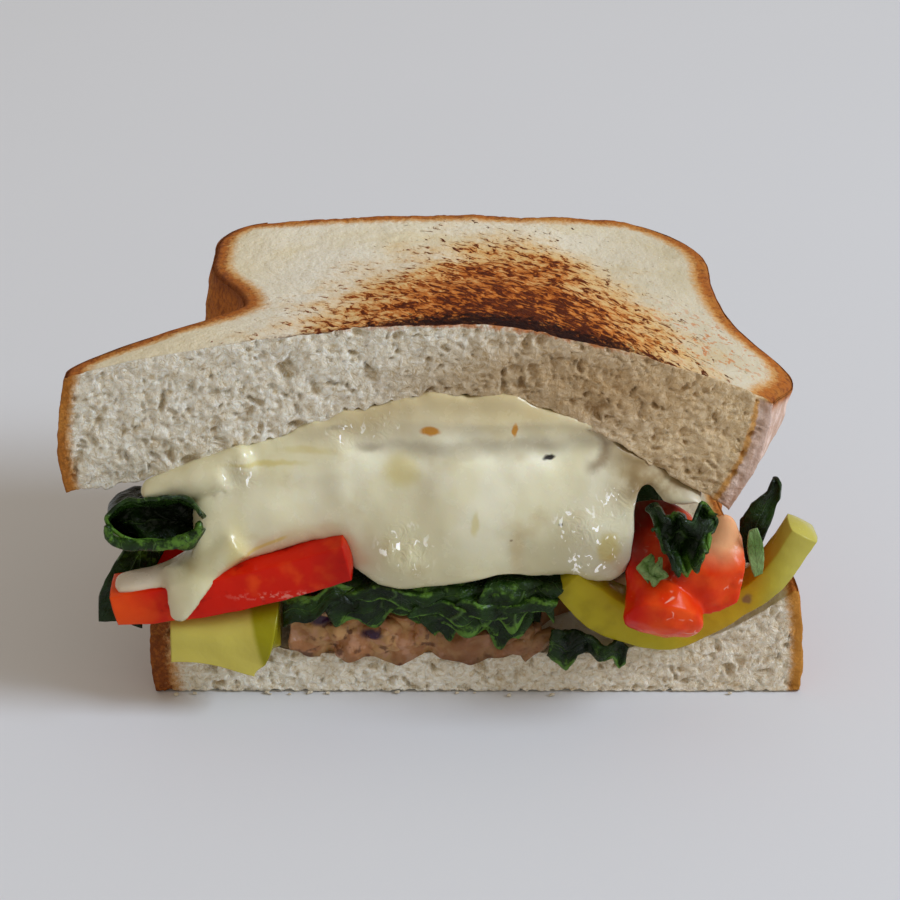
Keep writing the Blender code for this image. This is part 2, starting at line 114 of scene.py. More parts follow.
def sideFaces(ids, step, flip):
    # quads over a grid of points; with a step, coarse cells, the outer ones with every point of the rim
    corners = ids[::step, ::step]
    quads = np.stack([corners[:-1, :-1], corners[1:, :-1], corners[1:, 1:], corners[:-1, 1:]], axis=-1)
    if step == 1:
        faces = quads.reshape(-1, 4).tolist()
    else:
        faces = quads[1:-1, 1:-1].reshape(-1, 4).tolist()
        rows, columns = quads.shape[:2]
        for i, j in np.ndindex(rows, columns):
            if 0 < i < rows - 1 and 0 < j < columns - 1:
                continue
            a, b = i * step, j * step
            c, d = a + step, b + step
            low = ids[a:c, b] if j == 0 else ids[a:c:step, b]
            far = ids[c, b:d] if i == rows - 1 else ids[c, b:d:step]
            high = ids[c:a:-1, d] if j == columns - 1 else ids[c:a:-step, d]
            near = ids[a, d:b:-1] if i == 0 else ids[a, d:b:-step]
            faces.append(np.concatenate([low, far, high, near]).tolist())
    return [face[::-1] for face in faces] if flip else faces


def boxForm(cells, place, steps=None):
    # a closed box cut into cells: place(u, v, w) moves each point of its skin and gives its attributes
    counts = np.array(cells) + 1
    grid = np.indices(counts)
    onSkin = np.any((grid == 0) | (grid == (counts - 1).reshape(3, 1, 1, 1)), axis=0)
    ids = np.full(counts, -1)
    ids[onSkin] = np.arange(onSkin.sum())
    steps = steps or {}
    faces = sideFaces(ids[:, :, 0], steps.get("under", 1), True)
    faces += sideFaces(ids[:, :, -1], steps.get("top", 1), False)
    faces += sideFaces(ids[:, 0, :], steps.get("front", 1), False)
    faces += sideFaces(ids[:, -1, :], steps.get("back", 1), True)
    faces += sideFaces(ids[0, :, :], steps.get("left", 1), True)
    faces += sideFaces(ids[-1, :, :], steps.get("right", 1), False)
    u, v, w = (grid[i][onSkin] / cells[i] for i in range(3))
    points, extras = place(u, v, w)
    used = np.zeros(len(points), bool)
    used[np.concatenate([np.array(face) for face in faces])] = True
    renumbered = np.cumsum(used) - 1
    faces = [renumbered[face].tolist() for face in faces]
    return points[used], faces, {key: value[used] for key, value in extras.items()}


def sheetForm(cells, place):
    # an open grid moved by place(u, v)
    ids = np.arange((cells[0] + 1) * (cells[1] + 1)).reshape(cells[0] + 1, cells[1] + 1)
    u, v = np.indices(ids.shape).reshape(2, -1) / np.array(cells).reshape(2, 1)
    points, extras = place(u, v)
    return points, sideFaces(ids, 1, False), extras


def joined(forms):
    # several forms as one, with the attributes that all of them have
    shared = set.intersection(*(set(extras) for points, faces, extras in forms))
    starts = np.cumsum([0] + [len(points) for points, faces, extras in forms])
    faces = [[i + start for i in face] for start, form in zip(starts, forms) for face in form[1]]
    extras = {key: np.concatenate([form[2][key] for form in forms]) for key in sorted(shared)}
    return np.concatenate([form[0] for form in forms]), faces, extras


def makeMesh(name, form):
    points, faces, extras = form
    mesh = bpy.data.meshes.new(name)
    mesh.from_pydata(points.tolist(), [], faces)
    for key, value in extras.items():
        mesh.attributes.new(key, "FLOAT", "POINT").data.foreach_set("value", value.astype(np.float32))
    mesh.validate()
    mesh.shade_smooth()
    piece = bpy.data.objects.new(name, mesh)
    bpy.context.scene.collection.objects.link(piece)
    return piece


def handOver(piece, material, slotName, *nodes):
    # gives a piece its finish, its body and the CAD nodes that it stands for
    piece.data.materials.clear()
    piece.data.materials.append(material)
    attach(piece, "root")
    if nodes:
        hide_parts(*nodes)
    return piece


def thicken(piece, thickness):
    wall = piece.modifiers.new("Thickness", "SOLIDIFY")
    wall.thickness = thickness
    wall.offset = 0
    return piece


# shader recipes: sockets that take part in Python sums, and one way to add any other node

class Wire:
    def __init__(self, recipe, socket):
        self.recipe = recipe
        self.socket = socket

    def math(self, operation, *others, clamp=False):
        sockets = {i: value for i, value in enumerate((self, *others))}
        return self.recipe.add("Math", {"operation": operation, "use_clamp": clamp}, sockets)

    def __add__(self, other):
        return self.math("ADD", other)

    def __radd__(self, other):
        return self.math("ADD", other)

    def __sub__(self, other):
        return self.math("SUBTRACT", other)

    def __rsub__(self, other):
        return self.recipe.add("Math", {"operation": "SUBTRACT"}, {0: other, 1: self})

    def __mul__(self, other):
        return self.math("MULTIPLY", other)

    def __rmul__(self, other):
        return self.math("MULTIPLY", other)

    def __truediv__(self, other):
        return self.math("DIVIDE", other)

    def __pow__(self, other):
        return self.math("POWER", other)

    def clamped(self):
        return self.math("ADD", 0.0, clamp=True)

    def between(self, low, high):
        # 0 at low, 1 at high, smooth between
        settings = {"interpolation_type": "SMOOTHSTEP"}
        return self.recipe.add("MapRange", settings, {"Value": self, "From Min": low, "From Max": high})


class Recipe:
    def __init__(self, name, tints, **fixed):
        self.tints = tints
        self.colour = None
        self.material = bpy.data.materials.new(name)
        self.material.use_nodes = True
        self.tree = self.material.node_tree
        self.shader = self.tree.nodes["Principled BSDF"]
        for socket, value in fixed.items():
            self.shader.inputs[socket.replace("_", " ")].default_value = value
        self.place = self.add("TexCoord", {}, {}, "Object")

    def feed(self, socket, value):
        if isinstance(value, Wire):
            self.tree.links.new(value.socket, socket)
        elif isinstance(value, tuple) and socket.type == "RGBA" and len(value) == 3:
            socket.default_value = (*value, 1.0)
        else:
            socket.default_value = value

    def add(self, kind, settings, sockets, output=0):
        node = self.tree.nodes.new("ShaderNode" + kind)
        for key, value in settings.items():
            setattr(node, key, value)
        for key, value in sockets.items():
            self.feed(node.inputs[key], value)
        return Wire(self, node.outputs[output])

    def attribute(self, name):
        return self.add("Attribute", {"attribute_name": name}, {}, "Fac")

    def axis(self, name):
        return self.add("SeparateXYZ", {}, {"Vector": self.place}, name)

    def moved(self, location=(0, 0, 0), turn=0.0, stretch=(1, 1, 1)):
        # the pattern's own place: moved, then turned about Z, then stretched along its own sides
        sockets = {"Vector": self.place, "Location": location, "Rotation": (0, 0, turn), "Scale": stretch}
        return self.add("Mapping", {"vector_type": "TEXTURE"}, sockets)

    def bent(self, size, amount, place=None):
        # the same place pushed about by noise, so that a pattern isn't regular
        place = place or self.place
        wander = self.add("TexNoise", {}, {"Vector": place, "Scale": 1 / size, "Detail": 2.0}, 1)
        centred = self.add("VectorMath", {"operation": "SUBTRACT"}, {0: wander, 1: (0.5, 0.5, 0.5)})
        push = self.add("VectorMath", {"operation": "SCALE"}, {0: centred, "Scale": amount})
        return self.add("VectorMath", {"operation": "ADD"}, {0: place, 1: push})

    def noise(self, size, detail=3.0, roughness=0.55, place=None, distortion=0.0):
        # size is the width of a feature in metres
        sockets = {
            "Vector": place or self.place, "Scale": 1 / size, "Detail": detail, "Roughness": roughness,
            "Distortion": distortion,
        }
        return self.add("TexNoise", {}, sockets)

    def cells(self, size, place, feature="F1"):
        sockets = {"Vector": place, "Scale": 1 / size}
        return self.add("TexVoronoi", {"feature": feature}, sockets, "Distance")

    def spot(self, centre, radius, blur=0.35):
        # 1 inside an ellipsoid round centre, 0 outside, with a soft rim
        away = self.add("VectorMath", {"operation": "SUBTRACT"}, {0: self.bent(0.0022, 0.0012), 1: centre})
        scaled = self.add("VectorMath", {"operation": "DIVIDE"}, {0: away, 1: radius})
        length = self.add("VectorMath", {"operation": "LENGTH"}, {0: scaled}, "Value")
        return 1 - length.between(1 - blur, 1 + blur)

    def blend(self, first, second, factor, mode="MIX"):
        # a colour is a wire, three numbers or the name of a tint
        first, second = (self.tints[c] if isinstance(c, str) else c for c in (first, second))
        settings = {"data_type": "RGBA", "blend_type": mode}
        return self.add("Mix", settings, {0: factor, 6: first, 7: second}, 2)

    def paint(self, tint, factor, mode="MIX"):
        # lays a tint over the colour so far
        self.colour = self.blend(self.colour, tint, factor, mode)

    def bump(self, height, distance, strength=1.0, normal=None):
        sockets = {"Height": height, "Distance": distance, "Strength": strength}
        if normal:
            sockets["Normal"] = normal
        return self.add("Bump", {}, sockets)

    def finish(self, roughness=None, normal=None):
        self.feed(self.shader.inputs["Base Color"], self.colour)
        if roughness is not None:
            self.feed(self.shader.inputs["Roughness"], roughness)
        if normal is not None:
            self.feed(self.shader.inputs["Normal"], normal)
        return self.material


# camera, light and floor

def setStage():
    stage = {
        "camera": (0, -0.4299, 0.2687), "target": (0, -0.0100, 0.0360), "lens": 112.9, "sensor": 36.0,
        "sky": (1.0, 0.91, 0.79), "skyStrength": 0.47,
        "lamp": (1.55, -0.45, 1.25), "lampSize": 0.75, "lampPower": 34.0, "lampColour": (0.72, 0.83, 1.0),
        "floor": (0.72, 0.72, 0.73), "floorShade": (0.6984, 0.6984, 0.7081), "floorSize": 6.0,
    }
    camera = bpy.data.objects.new("camera", bpy.data.cameras.new("camera"))
    camera.data.sensor_width = stage["sensor"]
    camera.data.lens = stage["lens"]
    camera.data.clip_start = 0.01
    camera.location = stage["camera"]
    aim = Vector(stage["target"]) - Vector(stage["camera"])
    camera.rotation_euler = aim.to_track_quat("-Z", "Y").to_euler()
    bpy.context.scene.collection.objects.link(camera)
    bpy.context.scene.camera = camera
    bpy.context.scene.view_settings.view_transform = "Standard"

    world = bpy.data.worlds.new("studio")
    world.use_nodes = True
    sky = world.node_tree.nodes["Background"]
    sky.inputs["Color"].default_value = (*stage["sky"], 1)
    sky.inputs["Strength"].default_value = stage["skyStrength"]
    bpy.context.scene.world = world

    light = bpy.data.lights.new("lamp", "AREA")
    light.size = stage["lampSize"]
    light.energy = stage["lampPower"]
    light.color = stage["lampColour"]
    lamp = bpy.data.objects.new("lamp", light)
    lamp.location = stage["lamp"]
    lamp.rotation_euler = (-Vector(stage["lamp"])).to_track_quat("-Z", "Y").to_euler()
    bpy.context.scene.collection.objects.link(lamp)

    half = stage["floorSize"] / 2

    def flat(u, v):
        return stack(mix(-half, half, u), mix(-half, half, v), np.full_like(u, -0.0001)), {}

    floor = makeMesh("floor", sheetForm((4, 4), flat))
    paper = Recipe("pale_floor", stage, Roughness=0.75)
    paper.colour = stage["floor"]
    paper.paint("floorShade", paper.noise(0.12))
    floor.data.materials.append(paper.finish())


print("camera and light")
setStage()


# bread: the two slices, with the shape that the CAD model gives them

topSlice = {
    "back": cut["back"], "bulge": 0.0014, "swell": 0.0062, "swellBehind": 0.0110, "swellReach": 0.0082,
    "left": {
        "shoulder": 0.0615, "waist": 0.0340, "hip": 0.0410, "waistY": -0.0115, "hipY": 0.0130,
        "lean": -0.0012, "corner": 0.0085,
    },
    "right": {
        "shoulder": 0.0508, "waist": 0.0448, "hip": 0.0455, "waistY": 0.0100, "hipY": 0.0220,
        "lean": 0.0055, "corner": 0.0190,
    },
    "peak": 0.0702, "dropLeft": 0.0095, "dropRight": 0.0139, "backHeight": 0.0615, "backDroop": 0.0022,
    "backThickness": 0.0208, "pressed": 0.0125, "pressedX": 0.0060,
    "leftThickness": 0.0226, "leftReach": 0.0380, "rightThickness": 0.0233, "rightReach": 0.0280,
    "cells": (390, 105, 72),
}
bottomSlice = {
    "back": 0.0290, "bulge": 0.0006, "swell": 0.0, "swellBehind": 0.0110, "swellReach": 0.0082,
    "left": {
        "shoulder": 0.0500, "waist": 0.0360, "hip": 0.0405, "waistY": -0.0140, "hipY": 0.0160,
        "lean": 0.0, "corner": 0.0100,
    },
    "right": {
        "shoulder": 0.0580, "waist": 0.0475, "hip": 0.0490, "waistY": 0.0060, "hipY": 0.0200,
        "lean": -0.0014, "corner": 0.0120,
    },
    "pressed": 0.0080, "leftRise": 0.0068, "rightRise": 0.0130, "backHeight": 0.0185,
    "cells": (360, 60, 48),
}


def halfWidth(side, outline, y):
    # distance from the slice's middle to its crust: a burst shoulder by the cut, a waist, then a straight hip
    burst = 1 - ease(cut["y"] + 0.002, side["waistY"], y)
    width = side["waist"] + (side["shoulder"] - side["waist"]) * burst
    width = width + (side["hip"] - side["waist"]) * ease(side["waistY"], side["hipY"], y)
    intoCorner = np.maximum(0, y - (outline["back"] - side["corner"]))
    return width - (side["corner"] - np.sqrt(np.maximum(0, side["corner"] ** 2 - intoCorner ** 2)))


def topHeight(x, y):
    # an arch at the cut: it falls from its peak with a power of the distance, and flattens towards the back
    left = topSlice["dropLeft"] * (np.maximum(0, -x) / topSlice["left"]["shoulder"]) ** 1.75
    right = topSlice["dropRight"] * (np.maximum(0, x) / topSlice["right"]["shoulder"]) ** 1.7
    back = topSlice["backHeight"] - topSlice["backDroop"] * (x / 0.040) ** 2
    return mix(topSlice["peak"] - left - right, back, ease(cut["y"] - 0.010, cut["back"], y))


def topUnderside(x, y):
    # the top less the thickness, which a bell curve thins where the slice was pressed
    isLeft = x < topSlice["pressedX"]
    full = np.where(isLeft, topSlice["leftThickness"], topSlice["rightThickness"])
    reach = np.where(isLeft, topSlice["leftReach"], topSlice["rightReach"])
    pressed = np.exp(-(np.abs(x - topSlice["pressedX"]) / reach) ** 2.35)
    thick = mix(full, topSlice["pressed"], pressed) - 0.0014 * ease(0.052, 0.062, -x)
    return topHeight(x, y) - mix(thick, topSlice["backThickness"], ease(cut["y"], 0.010, y))


def baseHeight(x, y):
    # pressed flat at the cut, rising at both ends and to the full height at the back
    rise = bottomSlice["leftRise"] * ease(0.022, 0.046, -x)
    rise = rise + bottomSlice["rightRise"] * np.maximum(0, (x - 0.034) / 0.0245) ** 1.6
    rise = rise + 0.0017 * np.exp(-((x - 0.0345) / 0.0065) ** 2)  # the crumb swells up to the ring
    return mix(bottomSlice["pressed"] + rise, bottomSlice["backHeight"], ease(cut["y"], 0.012, y))


# pits in the open crumb: width of a cell, depth and the share of cells that have one
crumbPits = ((0.0042, 0.0013, 0.62), (0.0021, 0.0009, 0.8), (0.0012, 0.0004, 1.0))


def crumbRelief(points, seed):
    # how deep the open crumb lies below the cut: pits of three sizes at random places, torn fibres between
    warp = 0.0012 * stack(rough(points, 0.0034, seed + 20, 2), 0, rough(points, 0.0034, seed + 23, 2))
    place = (points + warp) * (1.0, 1.0, 0.85)
    depth, shade = 0, 0
    for i, (size, deep, much) in enumerate(crumbPits):
        away, number = pores(place, size, seed + 5 * i)
        pit = ease(0.50, 0.14, away / (0.45 + 0.65 * number)) * ease(much, much - 0.2, number)
        depth = depth + deep * pit
        # painted shade: each pit also adds to a darkness that the material paints into the crumb
        shade = shade + pit * (0.8 - 0.2 * i)
    fibres = 0.00018 * rough(points, 0.0014, seed + 9) + 0.00030 * ripple(points, 0.0040, seed + 13)
    return depth + fibres, np.clip(shade, 0, 1)


def breadSlice(name, outline, lower, upper, seed):
    # a block between two outlines and two heights, its skin roughened by relief
    def place(u, v, w):
        depth = mix(v, 0.5 - 0.5 * np.cos(np.pi * v), 0.55)
        y = mix(cut["y"], outline["back"], depth)
        crust = 4 * w * (1 - w)
        bulge = outline["bulge"] * crust
        behindCut = np.exp(-((y - cut["y"] - outline["swellBehind"]) / outline["swellReach"]) ** 2)
        nearCut = 1 - 0.6 * ease(cut["y"], 0.005, y)

        def edges(y, behindCut):
            left = halfWidth(outline["left"], outline, y) + bulge
            right = halfWidth(outline["right"], outline, y) + bulge
            right = right + outline["swell"] * behindCut * (0.4 + 0.6 * w)
            left = left - outline["left"]["lean"] * (1 - w) * nearCut
            right = right - outline["right"]["lean"] * (1 - w) * nearCut
            return left, right

        left, right = edges(y, behindCut)
        x = mix(-left, right, u)
        z = mix(lower(x, y), upper(x, y), w)
        # distance in from the crust, in millimetres
        ahead = 0.0004
        leftAhead, rightAhead = edges(np.minimum(y + ahead, outline["back"]), behindCut)
        leftRim = (x + left) / np.sqrt(1 + ((leftAhead - left) / ahead) ** 2)
        rightRim = (right - x) / np.sqrt(1 + ((rightAhead - right) / ahead) ** 2)
        rim = np.minimum(np.minimum(leftRim, rightRim), outline["back"] - y) * 1000
        rim = np.where((u == 0) | (u == 1) | (v == 1), 0, np.maximum(rim, 0))
        points = stack(x, y, z)
        relief, pore = crumbRelief(points * (1, 0, 1), seed)
        thickness = np.maximum(upper(x, y) - lower(x, y), 0.001)
        fromEdge = np.minimum(w, 1 - w) * thickness
        kept = mix(0.55, 1.0, ease(0, 0.0012, fromEdge)) * ease(0.0, 1.6, rim)
        onFloor = (z < 0.0005) & (w == 0)
        y = y + np.where(onFloor, 0.5, 1) * kept * relief * np.exp(-np.maximum(0, y - cut["y"]) / 0.0012)
        onCut = (v == 0).astype(float)
        y = y + np.where(v == 1, bulge, 0)
        # the sliced faces are slightly uneven, and the crust is wrinkled
        onTable = name == "bottomSlice"
        sliced = (w == 1) | ((w == 0) & (not onTable))
        uneven = 0.00035 * ripple(points, 0.011, seed + 30) + 0.00012 * ripple(points, 0.0028, seed + 31)
        z = z + np.where(sliced, uneven, 0)
        pits = ease(0.5, 0.1, pores(points, 0.0013, seed + 40)[0])
        z = z - np.where((w == 1) & (v > 0), 0.00014 * pits, 0)
        wrinkle = 0.00022 * rough(points, 0.0035, seed + 50)
        x = x + np.where(u == 0, -wrinkle, np.where(u == 1, wrinkle, 0)) * ease(0, 0.002, fromEdge + 0.0005)
        # the rim between a sliced face and the crust is a little rounded
        roundOff = 0.0007 * ease(0.9, 0.0, rim) ** 2
        z = z - np.where(w == 1, roundOff, 0)
        # the cut's lower edge is torn
        torn = 0.0007 * rough(points * (1, 0, 0), 0.0026, seed + 70)
        z = z - np.where((v == 0) & (not onTable), torn * ease(0.12, 0.0, w), 0)
        z = z + np.where((v == 0) & onTable, (np.abs(torn) + 0.0002) * ease(0.09, 0.0, w), 0)
        extras = {"rim": rim, "onCut": onCut, "lip": (1 - w) * thickness * 1000}
        extras["pore"] = np.where(v == 0, pore, 0.3 * pits)
        return stack(x, y, z), extras

    steps = {"under": 3, "back": 3}
    return makeMesh(name, boxForm(outline["cells"], place, steps))


def breadMaterial(name, isTop):
    bread = {
        "crumb": (0.84, 0.755, 0.585), "crumbHollowShade": (0.60, 0.46, 0.26), "crumbPale": (0.95, 0.92, 0.81),
        "crumbWarm": (0.84, 0.66, 0.45), "sliced": (0.83, 0.77, 0.64), "slicedRight": (0.60, 0.51, 0.34),
        "slicedFar": (0.77, 0.66, 0.43), "butter": (0.62, 0.48, 0.22), "soaked": (0.64, 0.52, 0.38),
        "damp": (0.50, 0.33, 0.17),
        "crust": (0.44, 0.138, 0.026), "crustDark": (0.13, 0.033, 0.016), "crustEdge": (0.61, 0.275, 0.052),
        "tornCrust": (0.58, 0.38, 0.28), "tornPale": (0.78, 0.58, 0.48), "speck": (0.20, 0.14, 0.07),
        "tan": (0.72, 0.43, 0.12), "ember": (0.57, 0.150, 0.014), "toast": (0.27, 0.046, 0.006),
        "toastDark": (0.085, 0.018, 0.008), "toastBlack": (0.018, 0.007, 0.006),
    }
    look = Recipe(
        name, bread, Roughness=0.9, Specular_IOR_Level=0.08, Subsurface_Weight=0.06,
        Subsurface_Radius=(0.0014, 0.0009, 0.0005),
    )
    rim, pore, onCut, lip = (look.attribute(name) for name in ("rim", "pore", "onCut", "lip"))
    x, y, z = look.axis("X"), look.axis("Y"), look.axis("Z")
    off = onCut * -1 + 1
    # open crumb: pale fibres, painted shade in the pits and between the fibres, warmer to the right where it
    # soaked up butter
    fine = look.noise(0.00045, 3, 0.6)
    threads = look.noise(0.0011, 4, 0.7, look.bent(0.0025, 0.0022), 1.2)
    crumb = look.blend("crumb", "crumbHollowShade", (pore * 0.85 - 0.06).clamped())
    crumb = look.blend(crumb, "crumbHollowShade", (1 - threads.between(0.34, 0.48)) * 0.8)
    palest = threads.between(0.50, 0.60) * 0.8 + fine.between(0.52, 0.66) * 0.4
    crumb = look.blend(crumb, "crumbPale", palest)
    warm = (x + (look.noise(0.02, 2) - 0.5) * 0.03).between(-0.006, 0.040)
    crumb = look.blend(crumb, "crumbWarm", warm * (0.9 if isTop else 0.25), "MULTIPLY")
    grain = look.noise(0.0007, 3, 0.6)
    blush = look.noise(0.012, 3).between(0.42, 0.70)
    sliced = look.blend("sliced", "slicedFar", (y + 0.02).between(0.0, 0.045) * (blush * 0.6 + 0.3))
    sliced = look.blend(sliced, "slicedFar", (1 - (x + 0.032).between(-0.012, 0.010)) * 0.8)
    sliced = look.blend(sliced, "slicedRight", (x - 0.012).between(0.0, 0.03) * (blush * 0.3 + 0.7))
    # butter tints the sliced faces, most in their small pits, partly as painted shade
    sliced = look.blend(sliced, "butter", (1 - grain.between(0.34, 0.46)) * 0.35 + pore * 0.25)
    look.colour = look.blend(sliced, crumb, onCut)
    # crust, wider at the burst shoulders, fading inwards through tan
    if isTop:
        burst = (1 - (y + 0.030) / 0.026).clamped() * 0.8 * off
        wide = 3.0 + burst - onCut * (0.9 + x.between(-0.01, 0.01) * 0.9)
    else:
        wide = 4.0 - (x + 0.01).between(0.0, 0.02) * 2.2
    ragged = look.noise(0.0009, 4, 0.7) - 0.5
    edge = rim / wide + ragged * 0.9
    look.paint("crustEdge", (1 - edge.between(0.78, 1.45)) * 0.85)
    spotty = look.noise(0.0010, 4, 0.7, place=look.moved((0.1, 0.2, 0)))
    darker = (1 - (x + 0.036).between(-0.006, 0.006)) * 0.05 * (2.0 if not isTop else 1.0)
    mottled = look.blend("crust", "crustEdge", look.noise(0.007, 3).between(0.48, 0.70) * 0.4)
    mottled = look.blend(mottled, "crustDark", (spotty + darker).between(0.47, 0.66) * 0.6)
    if not isTop:
        mottled = look.blend(mottled, "crustDark", (1 - (x + 0.036).between(-0.006, 0.006)) * 0.3)
    paler = 0.35 if isTop else (x + 0.01).between(0.0, 0.02) * 0.8
    sawn = look.blend(mottled, "crustEdge", onCut * paler)
    look.paint(sawn, 1 - edge.between(0.55, 0.95))
    height = fine * 0.35 + threads * (onCut * 1.1 + 0.05) + grain * 0.25 * off
    if isTop:
        # the crust is darkest along its upper edge
        edgeLine = (1 - lip.between(0.4, 2.6)) * (1 - rim.between(0.3, 1.5)) * off
        look.paint("crustDark", edgeLine * (1 - (x - 0.036).between(0.0, 0.01) * 0.6) * 0.55)
        # the crust tore off the right side, below its upper rim
        torn = (x - 0.043).between(0.0, 0.002) * (1 - rim.between(0.02, 0.3)) * off * lip.between(0.8, 2.6)
        torn = torn * (1 - (y + 0.012).between(0.0, 0.008))
        rags = look.noise(0.0024, 4, 0.65, look.moved(stretch=(1, 1, 2.2)))
        look.paint(look.blend("tornCrust", "tornPale", rags.between(0.42, 0.6)), torn)
        # the torn side shows on the cut too, inside an orange line
        sideways = rim + (look.noise(0.0016, 4, 0.7) - 0.5) * 1.4
        onRight = onCut * (x - 0.034).between(0.0, 0.004) * lip.between(0.0, 1.0)
        look.paint("crustEdge", (1 - (sideways - 2.5).math("ABSOLUTE").between(0.25, 0.75)) * onRight * 0.8)
        shred = look.blend("tornCrust", "tornPale", rags.between(0.40, 0.58))
        look.paint(shred, (1 - sideways.between(1.9, 2.4)) * onRight * 0.9)
        # the toasted patch lies along the cut and narrows to the back; its marks run slantwise
        onTop = off * (1 - lip.between(0.3, 1.4))
        across = ((x - 0.010) / (0.035 - (x - 0.010).between(0.0, 0.010) * 0.006)).math("ABSOLUTE")
        back = ((y + 0.031) / 0.050).math("ABSOLUTE")
        inside = 1 - across ** 1.3 - back ** 1.3
        slant = look.bent(0.0026, 0.0018, look.moved(turn=-0.80, stretch=(1.8, 0.9, 1.5)))
        streak = look.noise(0.00115, 4, 0.62, slant, 0.7) - 0.5
        amount = inside + (look.noise(0.0075, 3) - 0.5) * 1.0
        look.paint("tan", (amount + streak * 0.6).between(-0.42, 0.24) * 0.85 * onTop)
        ember = (amount + streak * 2.0).between(-0.04, 0.42) * onTop
        look.paint("ember", ember * 0.9)
        brown = (amount + streak * 4.2).between(0.20, 0.66) * onTop
        look.paint("toast", brown * 0.88)
        nearCut = (1 - (y + 0.0310) / 0.024).clamped()
        middle = 1 - ((x - 0.016) / 0.034) ** 2
        dark = (amount * 0.6 + nearCut * 0.30 + middle * 0.35 + streak * 4.6).between(0.62, 1.10) * onTop
        look.paint("toastDark", dark * 0.9)
        rind = 1.15 - (y + 0.0300) / 0.0062 - ((x - 0.0090) / 0.025) ** 2
        burnt = (rind + (look.noise(0.0011, 4, 0.75) - 0.5) * 3.0).between(0.05, 0.55) * onTop
        look.paint("toastBlack", burnt * 0.92)
        tail = look.spot((-0.0150, -0.0303, 0.0680), (0.0180, 0.0016, 0.02), 0.5) * onTop
        look.paint("toastDark", tail * look.noise(0.0012, 3).between(0.40, 0.52) * 0.85)
        flecks = look.noise(0.0011, 2, 0.5, look.bent(0.0014, 0.0016)).between(0.56, 0.64)
        rightShoulder = look.spot((0.0400, -0.0170, 0.062), (0.013, 0.011, 0.03), 0.6)
        look.paint("ember", flecks * rightShoulder * onTop * 0.7)
        # the cut edge is scorched thinly on the crumb's side too, and cheese fat browned its lower edge
        thin = lip + (look.noise(0.0009, 4, 0.7) - 0.5) * 2.2
        scorch = (1 - thin.between(0.1, 0.9)) * onCut * (1 - across.between(0.45, 0.95))
        look.paint("ember", scorch * look.noise(0.0022, 3).between(0.40, 0.58) * 0.8)
        soaked = look.spot((0.0130, -0.030, 0.0580), (0.022, 0.01, 0.0080), 0.6) * onCut
        look.paint("soaked", soaked * 0.9, "MULTIPLY")
        height = height + brown * streak * 3.0 + burnt * 0.6 * look.noise(0.0008, 3)
        specks = 1 - look.cells(0.0052, look.bent(0.004, 0.003)).between(0.025, 0.055)
        look.paint("speck", specks * off * 0.7)
    else:
        # the spread soaked into the top of the lower crumb
        damp = (z + (look.noise(0.005, 3) - 0.5) * 0.006 - 0.0072).between(0.0, 0.0022) * onCut
        damp = damp * (1 - (((x + 0.006) / 0.022).math("ABSOLUTE")).between(0.85, 1.1))
        look.paint("damp", damp * 0.75)
    return look.finish(normal=look.bump(height, 0.0006, 0.8))


print("bread")
top = breadSlice("topSlice", topSlice, topUnderside, topHeight, 1)
handOver(top, breadMaterial("toasted_bread", True), "toasted_bread", "top_slice")
bottom = breadSlice("bottomSlice", bottomSlice, lambda x, y: 0 * x, baseHeight, 2)
handOver(bottom, breadMaterial("bread", False), "bread", "bottom_slice")


# forms carried along a path

def splineThrough(points, across=(0, 1, 0)):
    # a smooth line through a few points, with its direction and its sideways and upward directions there:
    # each stretch is a cubic whose slope at a point is half the step between that point's neighbours
    line = np.array(points, float)
    line = np.concatenate([2 * line[:1] - line[1:2], line, 2 * line[-1:] - line[-2:-1]])
    across = np.array(across, float)

    def spot(u):
        place = u * (len(points) - 1)
        i = np.minimum(place.astype(int), len(points) - 2)
        t = (place - i)[:, None]
        a, b, c, d = (line[i + k] for k in range(4))
        curve = 2 * b + (c - a) * t + (2 * a - 5 * b + 4 * c - d) * t ** 2
        return 0.5 * (curve + (3 * b - a - 3 * c + d) * t ** 3)

    def spine(u):
        ahead = spot(np.minimum(1, u + 0.02)) - spot(np.maximum(0, u - 0.02))
        ahead /= np.linalg.norm(ahead, axis=1, keepdims=True)
        side = across - ahead * (ahead @ across)[:, None]
        side /= np.linalg.norm(side, axis=1, keepdims=True)
        return spot(u), ahead, side, np.cross(ahead, side)

    return spine


def sweptForm(cells, spine, size, rounding, end=0.0006, relief=None):
    # a strip carried along spine(u): a box of size(u) with rounded sides as its section, its ends crowned
    def place(u, v, w):
        middle, ahead, across, up = spine(u)
        width, height = size(u)
        a, b = 2 * v - 1, 2 * w - 1
        side = a * np.sqrt(1 - rounding * b * b / 2) * width / 2
        rise = b * np.sqrt(1 - rounding * a * a / 2) * height / 2
        push = np.where(u == 1, end, np.where(u == 0, -end, 0)) * (1 - a * a) * (1 - b * b)
        points = middle + across * side[:, None] + up * rise[:, None] + ahead * push[:, None]
        if relief:
            outward = across * (side / width)[:, None] + up * (rise / height)[:, None]
            points = points + outward * 2 * relief(points, u)[:, None]
        return points, {"ahead": u, "aside": a, "above": b}

    return boxForm(cells, place)


# layers that run through the food

filling = {
    "spreadBackThick": 0.0038,
    "spreadEdge": [
        (-0.0280, 0.0168), (-0.0245, 0.0186), (-0.0166, 0.0183), (-0.0118, 0.0154), (-0.0040, 0.0152),
        (0.0015, 0.0124), (0.0084, 0.0126), (0.0160, 0.0130),
    ],
    "leavesTop": 0.0218, "leavesBackTop": 0.0290, "leafSheet": 0.0006, "hangingSheet": 0.00035,
    "onions": 20,
}


def spreadHeight(x, y):
    # its drawn upper edge at the cut, blended to an even layer on the slice at the back
    front = np.maximum(along(filling["spreadEdge"], x), baseHeight(x, y) + 0.0030)
    return mix(front, baseHeight(x, y) + filling["spreadBackThick"], ease(cut["y"], 0.010, y))


